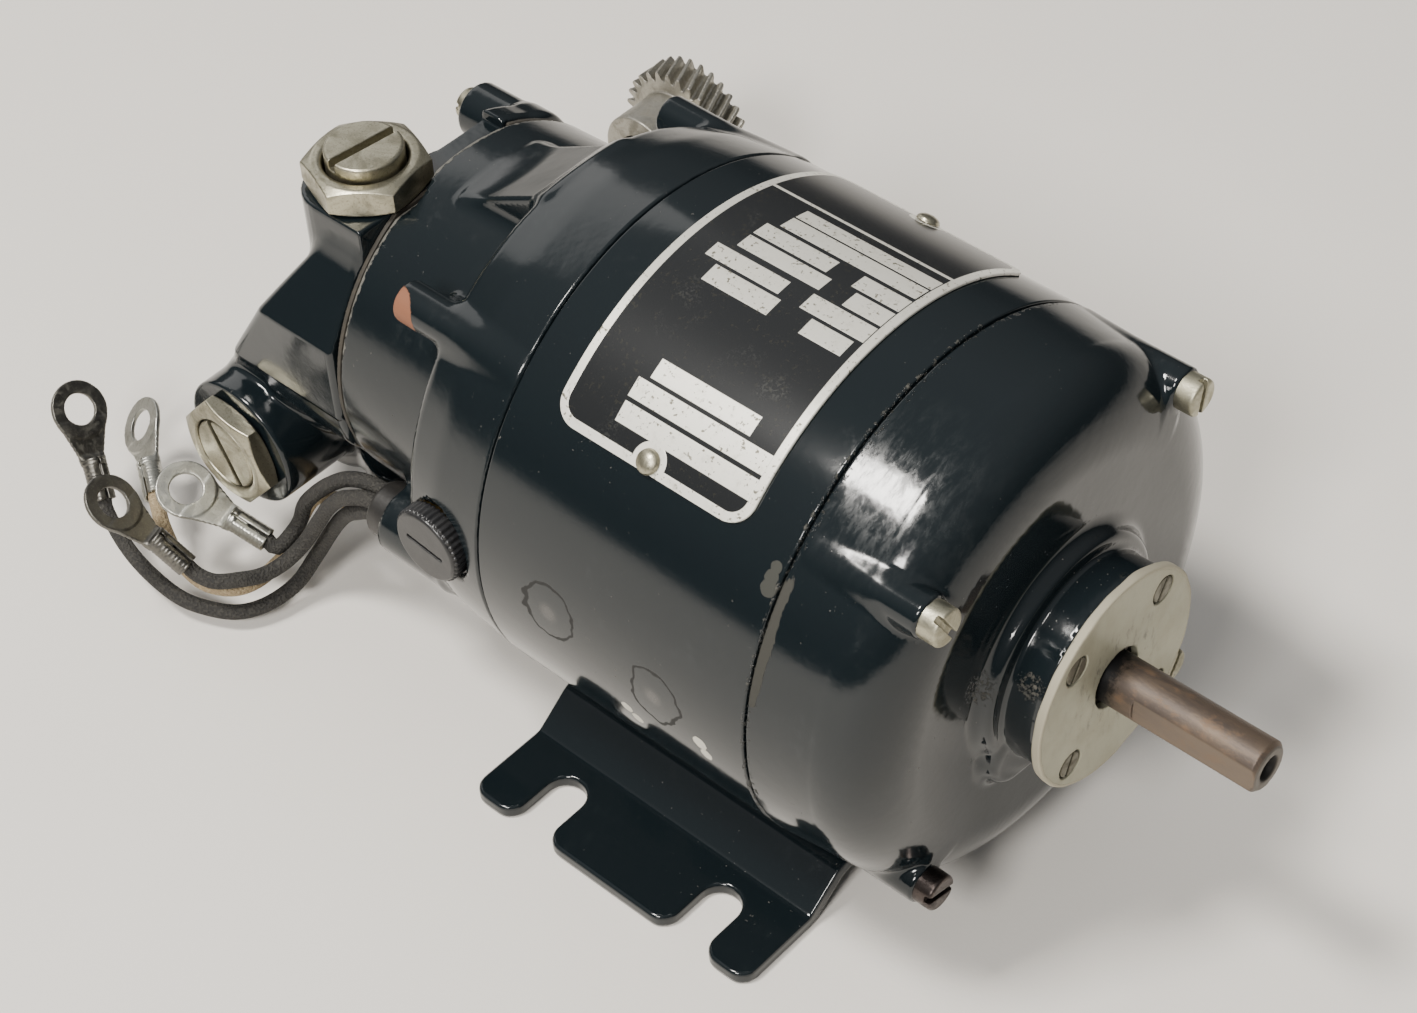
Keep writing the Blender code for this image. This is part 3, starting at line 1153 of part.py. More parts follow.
def make_adjusters():
    """End-play adjusters with their jam nuts, on the vertical and the output shaft."""
    vertical = (INTERMEDIATE_X, INTERMEDIATE_Y, 0)
    output = (OUTPUT_X, 0, OUTPUT_Z)
    top_face = TOP_NUT_FACE_Z + TOP_ADJUSTER_PROUD
    adjuster("top_adjuster_screw", "Z", vertical, top_face - TOP_ADJUSTER_LENGTH, top_face, TOP_SLOT_ANGLE)
    jam_nut("top_jam_nut", "Z", vertical, PEDESTAL_TOP_Z + FIT, TOP_NUT_FACE_Z, TOP_NUT_ANGLE)
    side_face = SIDE_NUT_FACE_Y + SIDE_ADJUSTER_RECESS
    adjuster("side_adjuster_screw", "Y", output, SIDE_ADJUSTER_END_Y, side_face, SIDE_SLOT_ANGLE)
    jam_nut("side_jam_nut", "Y", output, NEAR_BOSS_FACE_Y - FIT, SIDE_NUT_FACE_Y, SIDE_NUT_ANGLE)


def make_bushes():
    """Bronze bushes at both ends of the vertical and the output shaft."""
    vertical = (INTERMEDIATE_X, INTERMEDIATE_Y, 0)
    output = (OUTPUT_X, 0, OUTPUT_Z)
    bore = INTERMEDIATE_JOURNAL_RADIUS + RUNNING_FIT
    top = tube("Z", vertical, BUSH_RADIUS, bore, TOP_BUSH_Z, TOP_BUSH_Z + BUSH_LENGTH)
    solid("top_bush", top, "bronze")
    low = BOTTOM_BOSS_Z + 2 + FIT
    bottom = tube("Z", vertical, BUSH_RADIUS, bore, low, low + BUSH_LENGTH)
    solid("bottom_bush", bottom, "bronze")
    bore = OUTPUT_SHAFT_RADIUS + RUNNING_FIT
    inner_end = SIDE_ADJUSTER_END_Y + FIT
    near = tube("Y", output, ADJUSTER_RADIUS, bore, inner_end, inner_end + BUSH_LENGTH)
    solid("output_bush_near", near, "bronze")
    far_start = FAR_BOSS_FACE_Y - BUSH_LENGTH - FIT
    far = tube("Y", output, ADJUSTER_RADIUS, bore, far_start, far_start + BUSH_LENGTH)
    solid("output_bush_far", far, "bronze")


def make_intermediate():
    """Vertical shaft: the first stage's wheel and the second stage's worm."""
    centre = (INTERMEDIATE_X, INTERMEDIATE_Y, 0)
    low = BOTTOM_BOSS_Z + 2 + FIT + 0.3
    high = TOP_BUSH_Z + BUSH_LENGTH - 0.1
    journal = INTERMEDIATE_JOURNAL_RADIUS
    core = INTERMEDIATE_RADIUS
    step_low = low + BUSH_LENGTH + 0.3
    step_high = TOP_BUSH_Z - 0.4
    length = SECOND_WORM_LENGTH
    thread = worm("Z", centre, SECOND_MODULE, SECOND_WORM_PITCH_RADIUS, OUTPUT_Z, length, 180)
    shaft = solid("intermediate_shaft", thread, "steel", centre)
    add(shaft, stepped("Z", centre, [(low, journal), (step_low, core)], OUTPUT_Z - length / 2 + 1, 20))
    add(shaft, stepped("Z", centre, [(OUTPUT_Z + length / 2 - 1, core), (step_high, journal)], high, 20))
    bore = core + FIT
    wheel = worm_wheel("Z", centre, FIRST_MODULE, FIRST_WORM_PITCH_RADIUS, 0, FIRST_WHEEL_WIDTH, 90, 1)
    wheel = solid("first_worm_wheel", wheel, "bronze", centre)
    cut(wheel, rod("Z", centre, bore, -FIRST_WHEEL_WIDTH, FIRST_WHEEL_WIDTH))


def make_output():
    """Cross shaft: the second stage's wheel and the helical output gear."""
    centre = (OUTPUT_X, 0, OUTPUT_Z)
    near = SIDE_ADJUSTER_END_Y + 0.6
    face = OUTPUT_GEAR_FACE_Y
    radius = OUTPUT_SHAFT_RADIUS
    outline = [(near, 0), (near, radius), (face - 0.6, radius), (face, radius - 0.6), (face, 0)]
    solid("output_shaft", turned(outline, "Y", centre, 28), "steel", centre)
    bore = radius + FIT
    width = SECOND_WHEEL_WIDTH
    wheel = worm_wheel("Y", centre, SECOND_MODULE, SECOND_WORM_PITCH_RADIUS, INTERMEDIATE_Y, width, 0, -1)
    wheel = solid("output_worm_wheel", wheel, "bronze", centre)
    cut(wheel, rod("Y", centre, bore, INTERMEDIATE_Y - width, INTERMEDIATE_Y + width))
    module = 25.4 / OUTPUT_GEAR_PITCH
    pitch_radius = module * OUTPUT_GEAR_TEETH / 2
    slope = math.tan(math.radians(OUTPUT_GEAR_HELIX))
    sweep = OUTPUT_GEAR_HAND * math.degrees(slope * OUTPUT_GEAR_WIDTH / pitch_radius)
    start = face - 0.2 - OUTPUT_GEAR_WIDTH
    teeth = wheel_outline(OUTPUT_GEAR_TEETH, pitch_radius, module, 0.13, 0.36, 0)
    gear = toothed(teeth, "Y", centre, start, start + OUTPUT_GEAR_WIDTH, sweep, 2)
    gear = solid("output_gear", gear, "steel", centre)
    add(gear, rod("Y", centre, OUTPUT_HUB_RADIUS, start - OUTPUT_HUB_LENGTH, start + 0.5, 28))
    cut(gear, rod("Y", centre, bore, start - OUTPUT_HUB_LENGTH - 1, face + 1))


def rivet_rods(radius):
    """Two rods through the nameplate and the shell where the rivets go."""
    rods = []
    for angle in RIVET_ANGLES:
        upright = rod("Z", (RIVET_X, 0, 0), radius, SHELL_BORE - 1, SHELL_RADIUS + 3, 12)
        rods.append(rolled(upright, angle))
    return gathered(*rods)


def make_nameplate():
    """Blank nameplate, bent to the shell, with its two rivets."""
    inner = SHELL_RADIUS + PLATE_GAP
    outer = inner + PLATE_THICKNESS
    corner = PLATE_CORNER_RADIUS
    span = math.radians(PLATE_LOW_ANGLE - PLATE_HIGH_ANGLE) * outer
    rounding = [corner * (1 - math.cos(math.radians(22.5 * step))) for step in range(5)]
    middle = [corner + (span - 2 * corner) * step / 16 for step in range(1, 16)]
    rings = []
    for station in rounding + middle + [span - distance for distance in reversed(rounding)]:
        edge = min(station, span - station, corner)
        inset = corner - math.sqrt(max(corner**2 - (corner - edge) ** 2, 0))
        angle = PLATE_HIGH_ANGLE + math.degrees(station / outer)
        low = PLATE_START_X + inset
        high = PLATE_START_X + PLATE_LENGTH - inset
        ring = [(low, *polar(inner, angle)), (high, *polar(inner, angle))]
        ring += [(high, *polar(outer, angle)), (low, *polar(outer, angle))]
        rings.append(ring)
    plate = solid("nameplate", lofted(rings), "nickel")
    cut(plate, rivet_rods(RIVET_SHANK_RADIUS + FIT))
    base = outer + 0.15
    for index, angle in enumerate(RIVET_ANGLES):
        head = RIVET_HEAD_RADIUS
        top = base + RIVET_HEAD_HEIGHT
        outline = [(SHELL_BORE + 0.1, 0), (SHELL_BORE + 0.1, RIVET_SHANK_RADIUS), (base, RIVET_SHANK_RADIUS)]
        outline += [(base, head), (base + 0.45, head * 0.86), (top - 0.25, head * 0.5), (top, 0)]
        rivet = rolled(turned(outline, "Z", (RIVET_X, 0, 0), 12), angle)
        solid(f"nameplate_rivet_{index + 1}", rivet, "nickel")


def smooth_path(points, step):
    """A smooth curve through the points, as points about this far apart."""
    path = [Vector(point) for point in points]
    ends = [path[0] * 2 - path[1], *path, path[-1] * 2 - path[-2]]
    curve = [path[0]]
    for before, here, there, after in zip(ends, ends[1:], ends[2:], ends[3:]):
        pieces = max(1, round((there - here).length / step))
        for piece in range(1, pieces + 1):
            t = piece / pieces
            flat = (there - before) * (t / 2) + (before * 2 - here * 5 + there * 4 - after) * (t * t / 2)
            curve.append(here + flat + (here * 3 - before - there * 3 + after) * (t**3 / 2))
    return curve


def swept(path, radius, sides):
    """A round body along a path, without twist."""
    along = (path[1] - path[0]).normalized()
    across = along.orthogonal().normalized()
    rings = []
    for index, point in enumerate(path):
        before = path[max(index - 1, 0)]
        after = path[min(index + 1, len(path) - 1)]
        turned_along = (after - before).normalized()
        across = along.rotation_difference(turned_along) @ across
        along = turned_along
        other = along.cross(across)
        ring = []
        for side in range(sides):
            angle = 2 * math.pi * side / sides
            ring.append(point + (across * math.cos(angle) + other * math.sin(angle)) * radius)
        rings.append(ring)
    return lofted(rings)


def make_lead(index, cell, way, mouth, toward, facing, material):
    """One lead, out of the bushing and into its ring terminal."""
    bushing_y, bushing_z = polar(LEAD_BUSHING_CIRCLE, LEAD_BUSHING_ANGLE)
    y = bushing_y + cell[0] * LEAD_PITCH / 2
    z = bushing_z + cell[1] * LEAD_PITCH / 2
    along = Vector(toward).normalized()
    mouth = Vector(mouth)
    points = [(LEAD_BUSHING_END_X + LEAD_TAIL, y, z), (LEAD_BUSHING_END_X, y, z), *way]
    points += [mouth - along * 2, mouth, mouth + along * (BARREL_BORE_DEPTH - 0.4)]
    lead = swept(smooth_path(points, LEAD_DIAMETER * 1.5), LEAD_DIAMETER / 2, 6)
    solid(f"lead_{index}", lead, material)
    place = terminal_place(mouth, along, Vector(facing))
    barrel_end = BARREL_START + BARREL_LENGTH
    ring = tube("Z", (0, 0, 0), RING_OUTER_RADIUS, RING_HOLE_RADIUS, -RING_THICKNESS, 0, 16)
    half = RING_THICKNESS * 2
    tongue = block((-BARREL_START - 0.6, -half, 0.1 - RING_THICKNESS), (-RING_HOLE_RADIUS - 0.8, half, -0.1))
    barrel = rod("X", (0, 0, 0), BARREL_RADIUS, -barrel_end, -BARREL_START, 12)
    bore = rod("X", (0, 0, 0), BARREL_BORE, -barrel_end - 1, BARREL_BORE_DEPTH - barrel_end, 10)
    for shape in (ring, tongue, barrel, bore):
        shape.transform(place)
    terminal = solid(f"ring_terminal_{index}", ring, "nickel")
    add(terminal, tongue, barrel)
    cut(terminal, bore)


def terminal_place(mouth, along, facing):
    """Where a terminal goes: its eye at the origin, +x from its barrel to its eye, +z its face."""
    across = facing.cross(along).normalized()
    turn = Matrix((along, across, along.cross(across))).transposed().to_4x4()
    return Matrix.Translation(mouth + along * (BARREL_START + BARREL_LENGTH)) @ turn


def make_leads():
    """Four leads in their order on the table, from the longest to the shortest."""
    for index, lay in enumerate(LEAD_LAYS):
        make_lead(index + 1, *lay)


def clear_scene():
    """Takes every object out of the scene."""
    for placed in list(bpy.data.objects):
        bpy.data.objects.remove(placed)


def make_frame():
    """The motor's own frame, which every sub-part hangs from."""
    frame = bpy.data.objects.new("motor_frame", None)
    frame.location = (-ORIGIN_X * MM, -ORIGIN_Y * MM, AXIS_HEIGHT * MM)
    bpy.context.scene.collection.objects.link(frame)


def main():
    """Builds every sub-part."""
    clear_scene()
    make_frame()
    make_base()
    make_shell()
    make_front_shield()
    make_bearing_cap()
    make_through_bolts()
    make_bearings()
    make_rear_shield()
    make_lead_bushing()
    make_field()
    make_armature()
    make_brush_gear(-1, "near")
    make_brush_gear(1, "far")
    make_gear_housing()
    make_gasket()
    make_housing_screws()
    make_adjusters()
    make_bushes()
    make_intermediate()
    make_output()
    make_nameplate()
    make_leads()


main()
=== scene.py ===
"""Looks for the right-angle gearmotor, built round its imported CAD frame.

Shapes are written in millimetres in the motor's own frame: x runs along the motor shaft from the
shell's rear seam towards the plain front shaft end, y goes across, and z is up from the shaft's
axis. Most pieces are signed distance fields: metal where the field is below zero, with cast
fillets where fields join. A mesh of each field's surface becomes a piece in the row's own frame.
"""

import json
import math
from functools import reduce

import bpy
import numpy as np
from mathutils import Matrix, Vector

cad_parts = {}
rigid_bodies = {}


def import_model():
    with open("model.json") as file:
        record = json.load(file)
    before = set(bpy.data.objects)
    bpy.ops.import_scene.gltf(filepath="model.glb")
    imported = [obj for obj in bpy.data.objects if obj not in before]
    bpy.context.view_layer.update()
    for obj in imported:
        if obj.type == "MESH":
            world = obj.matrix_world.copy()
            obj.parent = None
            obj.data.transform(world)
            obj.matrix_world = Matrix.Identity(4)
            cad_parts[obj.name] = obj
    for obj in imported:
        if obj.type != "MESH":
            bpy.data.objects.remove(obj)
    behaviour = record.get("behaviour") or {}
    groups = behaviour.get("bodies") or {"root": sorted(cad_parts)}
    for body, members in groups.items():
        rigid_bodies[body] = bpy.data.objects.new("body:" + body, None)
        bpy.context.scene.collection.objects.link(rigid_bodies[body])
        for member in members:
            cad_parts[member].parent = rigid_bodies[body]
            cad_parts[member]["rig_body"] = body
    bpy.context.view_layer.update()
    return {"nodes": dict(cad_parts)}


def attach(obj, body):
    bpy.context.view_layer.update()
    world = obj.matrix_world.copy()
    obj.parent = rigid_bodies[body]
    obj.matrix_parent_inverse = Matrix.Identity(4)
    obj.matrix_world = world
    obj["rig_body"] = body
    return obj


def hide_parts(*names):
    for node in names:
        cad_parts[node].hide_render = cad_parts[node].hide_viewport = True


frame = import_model()

MM = 0.001
AXIS = (0, 0, 0)
GROUND_Z = -51.0
ORIGIN = np.array((12.25, 15.2, GROUND_Z))
SEAT_GAP = 0.25
SHELL_RADIUS = 42.85
SHELL_BORE = 41.65
SHELL_LENGTH = 50.8
FRONT_SEAM_X = 51.05
FRONT_FACE_X = 71.55
HUB_FACE_X = 80.05
HUB_BORE = 11.3
CAP_FACE_X = 81.7
CAP_SCREW_CIRCLE = 13.8
CAP_SLOT_ANGLES = (60, 62, 68, 45)
SHAFT_END_X = 106.9
SHAFT_RADIUS = 3.97
NECK_RADIUS = 30.7
NECK_BORE = 23.5
NECK_END_X = -42.1
HOUSING_FRONT_X = -43.4
HOUSING_FLANGE_X = -49.0
REAR_END_X = -82.4
BOLT_CIRCLE = 39.3
BOLT_ANGLES = (45, 135, 225, 315)
BOLT_SLOT_ANGLES = (80, 120, 165, 60)
BOSS_RADIUS = 3.3
FRONT_BOSS_END_X = FRONT_SEAM_X + 19.8
BRUSH_X = -9.9
BRUSH_SEAT_Y = 40.9
INTERMEDIATE = (-51.1, -12.1)
OUTPUT = (-66.9, -21.9)
LEAD_BUSHING = (35.8, 208.5)
LEAD_BUSHING_END_X = -34.4
LEAD_PITCH = 2.75
LEAD_RADIUS = 1.3
TERMINAL_LENGTH = 16.0
PEDESTAL_TOP_Z = 26.8
NOTCH_TOP_Z = 46.8
NOTCH_FAR_Y = 9.5
NEAR_BOSS_FACE_Y = -34.0
NUT_CORNER = 17.46 / math.sqrt(3)
ADJUSTER_LENGTH = 13.0
LUG_CIRCLE = 26.2
LUG_HOLE = 1.85
LUGS = ((50.0, -58.0), (-25.0, -52.0), (199.4, -62.0))
PLATE_RADIUS = 43.4
PLATE_CORNER = 4.0
PLATE_BORDER = 1.4
PLATE_X = (7.5, 42.8)
PLATE_ARC = [math.radians(degrees) * PLATE_RADIUS for degrees in (48.0, 138.6)]
RIVET_X = 25.0
RIVET_ANGLES = (136.5, 50.2)

# The plate's blank bare fields and its header line: first and last x, first and last angle
PLATE_FIELDS = (
    (16.9, 41.2, 75.2, 78.7),
    (16.9, 41.1, 79.2, 83.1),
    (15.2, 28.4, 84.1, 88.0),
    (32.9, 41.2, 84.1, 88.0),
    (15.2, 30.0, 88.8, 92.5),
    (34.4, 41.2, 88.8, 92.9),
    (12.7, 26.0, 94.0, 97.6),
    (30.0, 41.2, 93.7, 97.8),
    (15.3, 27.1, 98.4, 102.6),
    (32.8, 40.1, 98.6, 102.5),
    (18.7, 36.7, 119.3, 123.4),
    (17.1, 41.4, 124.2, 128.2),
    (17.2, 41.4, 129.1, 133.2),
    (8.5, 42.0, 72.2, 73.0),
)


def polar(radius, degrees):
    """The (y, z) of a point at this radius and angle round the motor shaft."""
    angle = math.radians(degrees)
    return radius * math.cos(angle), radius * math.sin(angle)


def spot(x, radius, degrees):
    """A point at this radius and angle round the motor shaft."""
    return (x, *polar(radius, degrees))


def arc(centre, radius, first, last, count):
    """Points on an arc of a circle, from the first angle to the last, in degrees."""
    turns = [first + (last - first) * step / count for step in range(count + 1)]
    sides = [polar(radius, degrees) for degrees in turns]
    return [(centre[0] + across, centre[1] + up) for across, up in sides]


def rounded(corners, radii, steps=8):
    """A closed outline whose corners have fillets, where a radius of 0 leaves the corner sharp."""
    points = []
    for index, (corner, radius) in enumerate(zip(corners, radii)):
        here = Vector(corner)
        if radius == 0:
            points.append(tuple(here))
            continue
        before = (Vector(corners[index - 1]) - here).normalized()
        after = (Vector(corners[(index + 1) % len(corners)]) - here).normalized()
        half = before.angle(after) / 2
        middle = here + (before + after).normalized() * (radius / math.sin(half))
        first = here + before * (radius / math.tan(half)) - middle
        last = here + after * (radius / math.tan(half)) - middle
        sweep = first.angle_signed(last)
        for step in range(steps + 1):
            turn = Matrix.Rotation(-sweep * step / steps, 2)
            points.append(tuple(middle + turn @ first))
    return points


def mirrored(half):
    """A closed outline from the half of it on one side of its axis."""
    return half + [(along, -across) for along, across in reversed(half)]


def meet(a, b, edge):
    """Where both fields are solid, with this rounding of the edge between them."""
    corner = np.hypot(np.maximum(a + edge, 0), np.maximum(b + edge, 0))
    return np.minimum(-edge, np.maximum(a, b)) + corner


def joined(fillet, *fields):
    """One field for several, with this fillet between them."""
    return lambda points: -reduce(lambda a, b: meet(a, b, fillet), [-field(points) for field in fields])


def within(edge, field, *others, way=1):
    """A field kept only where the others are solid too, or where they aren't if the way is -1."""

    def kept(points):
        total = field(points)
        for other in others:
            total = meet(total, way * other(points), edge)
        return total

    return kept


def without(edge, field, *cutters):
    """A field with others taken out of it, its new edges rounded."""
    return within(edge, field, *cutters, way=-1)


def axes(axis):
    """The index of an axis, and those of the two across it."""
    along = "XYZ".index(axis)
    return along, *(index for index in range(3) if index != along)


def rod(axis, centre, radius, start, end, edge=0.3):
    """A cylinder along an axis with rounded ends."""
    along, first, second = axes(axis)
    middle, half = (start + end) / 2, abs(end - start) / 2

    def field(points):
        radial = np.hypot(points[:, first] - centre[first], points[:, second] - centre[second]) - radius
        return meet(radial, np.abs(points[:, along] - middle) - half, edge)

    return field


def slab(low, high, edge=0.3, turn=None):
    """A box with rounded edges, which a 3x3 matrix may turn about its middle."""
    low, high = np.minimum(low, high), np.maximum(low, high)
    middle, half = (low + high) / 2, (high - low) / 2

    def field(points):
        local = points - middle
        if turn is not None:
            local = local @ np.array(turn)
        reach = np.abs(local) - half + edge
        outside = np.linalg.norm(np.maximum(reach, 0), axis=1)
        return outside + np.minimum(reach.max(axis=1), 0) - edge

    return field


def distance_table(outline, step, margin=3.0):
    """A lookup of the signed distance to a closed outline in its own plane."""
    outline = np.array(outline, float)
    low, high = outline.min(0) - margin, outline.max(0) + margin
    counts = np.ceil((high - low) / step).astype(int) + 1
    across = [low[index] + step * np.arange(counts[index]) for index in range(2)]
    u, v = np.meshgrid(*across, indexing="ij")
    nearest = np.full(u.shape, 1e9)
    inside = np.zeros(u.shape, bool)
    for (au, av), (bu, bv) in zip(outline, np.roll(outline, -1, 0)):
        du, dv = bu - au, bv - av
        share = np.clip(((u - au) * du + (v - av) * dv) / (du * du + dv * dv + 1e-12), 0, 1)
        nearest = np.minimum(nearest, (u - au - share * du) ** 2 + (v - av - share * dv) ** 2)
        if dv != 0:
            inside ^= ((av > v) != (bv > v)) & (u < au + (v - av) * du / dv)
    table = np.where(inside, -1, 1) * np.sqrt(nearest)

    def look(a, b):
        place_a = np.clip((a - low[0]) / step, 0, counts[0] - 1.001)
        place_b = np.clip((b - low[1]) / step, 0, counts[1] - 1.001)
        i, j = place_a.astype(int), place_b.astype(int)
        s, t = place_a - i, place_b - j
        lower = table[i, j] * (1 - s) + table[i + 1, j] * s
        upper = table[i, j + 1] * (1 - s) + table[i + 1, j + 1] * s
        return lower * (1 - t) + upper * t

    return look


def turned(axis, outline, step=0.12):
    """A closed outline of (along, radius) points turned about an axis through the origin."""
    along, first, second = axes(axis)
    look = distance_table(outline, step)
    return lambda points: look(points[:, along], np.hypot(points[:, first], points[:, second]))


def extruded(axis, outline, start, end, edge=0.3, step=0.12, turn=0.0):
    """A closed outline pushed along an axis, and turned evenly about the outline's origin."""
    along, first, second = axes(axis)
    look = distance_table(outline, step)
    middle, half = (start + end) / 2, abs(end - start) / 2

    def field(points):
        u, v = points[:, first], points[:, second]
        if turn:
            angle = -turn * (points[:, along] - start) / (end - start)
            u, v = u * np.cos(angle) - v * np.sin(angle), u * np.sin(angle) + v * np.cos(angle)
        return meet(look(u, v), np.abs(points[:, along] - middle) - half, edge)

    return field


def peg(radius, start, end, lower, upper):
    """A short bar along Z with a rounding at each end."""
    outline = mirrored([(start, radius), (end, radius)])
    return turned("Z", rounded(outline, [lower, upper, upper, lower]), 0.06)


def moved(field, offset):
    """A field drawn about the origin, moved to its place."""
    offset = np.array(offset, float)
    return lambda points: field(points - offset)


def aimed(field, axis, centre):
    """A field drawn along +Z, turned to point along an axis, a minus sign for its other way."""
    way = -1 if axis[0] == "-" else 1
    places = {"X": (1, 2, 0), "Y": (2, 0, 1), "Z": (0, 1, 2)}[axis[-1]]
    centre = np.array(centre, float)
    return lambda points: field((points - centre)[:, places] * np.array((1, way, way)))


def wavy(field, height, length, seed):
    """A field whose surface is slightly uneven, as a casting is."""
    chance = np.random.default_rng(seed)
    waves = chance.normal(size=(7, 3))
    waves /= np.linalg.norm(waves, axis=1)[:, None] * length
    waves *= chance.uniform(0.7, 1.6, size=(7, 1)) * 2 * math.pi
    phases = chance.uniform(0, 2 * math.pi, 7)

    def uneven(points):
        ripple = sum(np.sin(points @ wave + phase) for wave, phase in zip(waves, phases))
        return field(points) + ripple * height / 4

    return uneven


def around(axis, centre, half, start, end):
    """The corners of a box along an axis, reaching this far to each side of its centre."""
    along = axes(axis)[0]
    low, high = (np.array(centre, float) + way * half for way in (-1, 1))
    low[along], high[along] = start, end
    return low, high


def slope_of(field, points, reach):
    """The field's gradient at each point."""
    slope = np.empty_like(points)
    for axis in range(3):
        offset = np.zeros(3)
        offset[axis] = reach
        slope[:, axis] = (field(points + offset) - field(points - offset)) / (2 * reach)
    return slope


def skin(field, box, step):
    """Points, quads and normals of a field's surface in a box: surface nets, moved onto the surface."""
    low, high = (np.array(corner, float) for corner in box)
    counts = np.ceil((high - low) / step).astype(int) + 1
    across = [low[index] + step * np.arange(counts[index]) for index in range(3)]
    values = np.empty(counts, np.float32)
    for first in range(0, counts[0], 16):
        block = np.stack(np.meshgrid(across[0][first : first + 16], *across[1:], indexing="ij"), -1)
        values[first : first + 16] = field(block.reshape(-1, 3)).reshape(block.shape[:3])
    inside = values < 0
    cells = counts - 1
    total = np.zeros((*cells, 3), np.float32)
    hits = np.zeros(cells, np.float32)
    crossings = []
    for axis in range(3):
        near = tuple(slice(0, -1) if index == axis else slice(None) for index in range(3))
        far = tuple(slice(1, None) if index == axis else slice(None) for index in range(3))
        crossing = inside[near] != inside[far]
        crossings.append(crossing)
        with np.errstate(divide="ignore", invalid="ignore"):
            share = np.where(crossing, values[near] / (values[near] - values[far]), 0)
        second, third = (axis + 1) % 3, (axis + 2) % 3
        for du in (0, 1):
            for dv in (0, 1):
                window = [slice(None)] * 3
                window[second] = slice(du, du + cells[second])
                window[third] = slice(dv, dv + cells[third])
                here = crossing[tuple(window)]
                hits += here
                total[..., axis] += share[tuple(window)]
                total[..., second] += here * du
                total[..., third] += here * dv
    active = hits > 0
    ids = np.full(cells, -1)
    ids[active] = np.arange(active.sum())
    points = low + step * (np.argwhere(active) + total[active] / hits[active][:, None])
    quads = []
    for axis, crossing in enumerate(crossings):
        second, third = (axis + 1) % 3, (axis + 2) % 3
        spots = np.argwhere(crossing)
        clear = (spots[:, second] > 0) & (spots[:, third] > 0)
        clear &= (spots[:, second] < counts[second] - 1) & (spots[:, third] < counts[third] - 1)
        spots = spots[clear]
        corners = []
        for du, dv in ((1, 1), (0, 1), (0, 0), (1, 0)):
            cell = spots.copy()
            cell[:, second] -= du
            cell[:, third] -= dv
            corners.append(ids[tuple(cell.T)])
        ring = np.stack(corners, 1)
        outward = inside[tuple(spots.T)]
        quads += [ring[outward], ring[~outward][:, ::-1]]
    for _ in range(3):
        slope = slope_of(field, points, step * 0.1)
        steep = np.maximum((slope**2).sum(axis=1), 0.1)
        shift = -(field(points) / steep)[:, None] * slope
        size = np.linalg.norm(shift, axis=1)[:, None]
        points = points + shift * np.minimum(1, step * 0.5 / np.maximum(size, 1e-9))
    normals = slope_of(field, points, step * 0.2)
    normals /= np.maximum(np.linalg.norm(normals, axis=1)[:, None], 1e-9)
    return points, np.concatenate(quads), normals


def strips(rings, sides, closed=False):
    """Quads between neighbouring rings of points, and from the last to the first if it is closed."""
    quads = []
    for ring in range(rings if closed else rings - 1):
        base, after = ring * sides, (ring + 1) % rings * sides
        for side in range(sides):
            following = (side + 1) % sides
            quads.append((base + side, base + following, after + following, after + side))
    return quads


def mesh_of(name, points, quads, normals=None):
    """A smooth mesh in the row's frame from points in the motor's frame."""
    mesh = bpy.data.meshes.new(name)
    mesh.vertices.add(len(points))
    mesh.vertices.foreach_set("co", ((points - ORIGIN) * MM).astype(np.float32).ravel())
    mesh.loops.add(quads.size)
    mesh.loops.foreach_set("vertex_index", quads.astype(np.int32).ravel())
    mesh.polygons.add(len(quads))
    mesh.polygons.foreach_set("loop_start", np.arange(0, quads.size, 4, dtype=np.int32))
    mesh.update(calc_edges=True)
    mesh.shade_smooth()
    if normals is not None:
        mesh.normals_split_custom_set_from_vertices(normals.astype(np.float32))
    return mesh


def piece(name, mesh, finish, node):
    """A piece that stands for a CAD node and rides on its body."""
    placed = bpy.data.objects.new(name, mesh)
    bpy.context.scene.collection.objects.link(placed)
    mesh.materials.append(finish)
    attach(placed, frame["nodes"][node]["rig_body"])
    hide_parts(node)
    return placed


def carved(name, field, box, step, finish, node):
    """A piece made from the surface of a field."""
    return piece(name, mesh_of(name, *skin(field, box, step)), finish, node)


def add_node(tree, kind, inputs=None, **settings):
    """A new shader node with these settings, its inputs linked or set."""
    made = tree.nodes.new("ShaderNode" + kind)
    for name, value in settings.items():
        setattr(made, name, value)
    for socket, value in (inputs or {}).items():
        put(tree, made.inputs[socket], value)
    return made


def put(tree, socket, value):
    """Links a socket, or sets it to a number or colour."""
    if isinstance(value, bpy.types.NodeSocket):
        tree.links.new(value, socket)
    else:
        socket.default_value = value


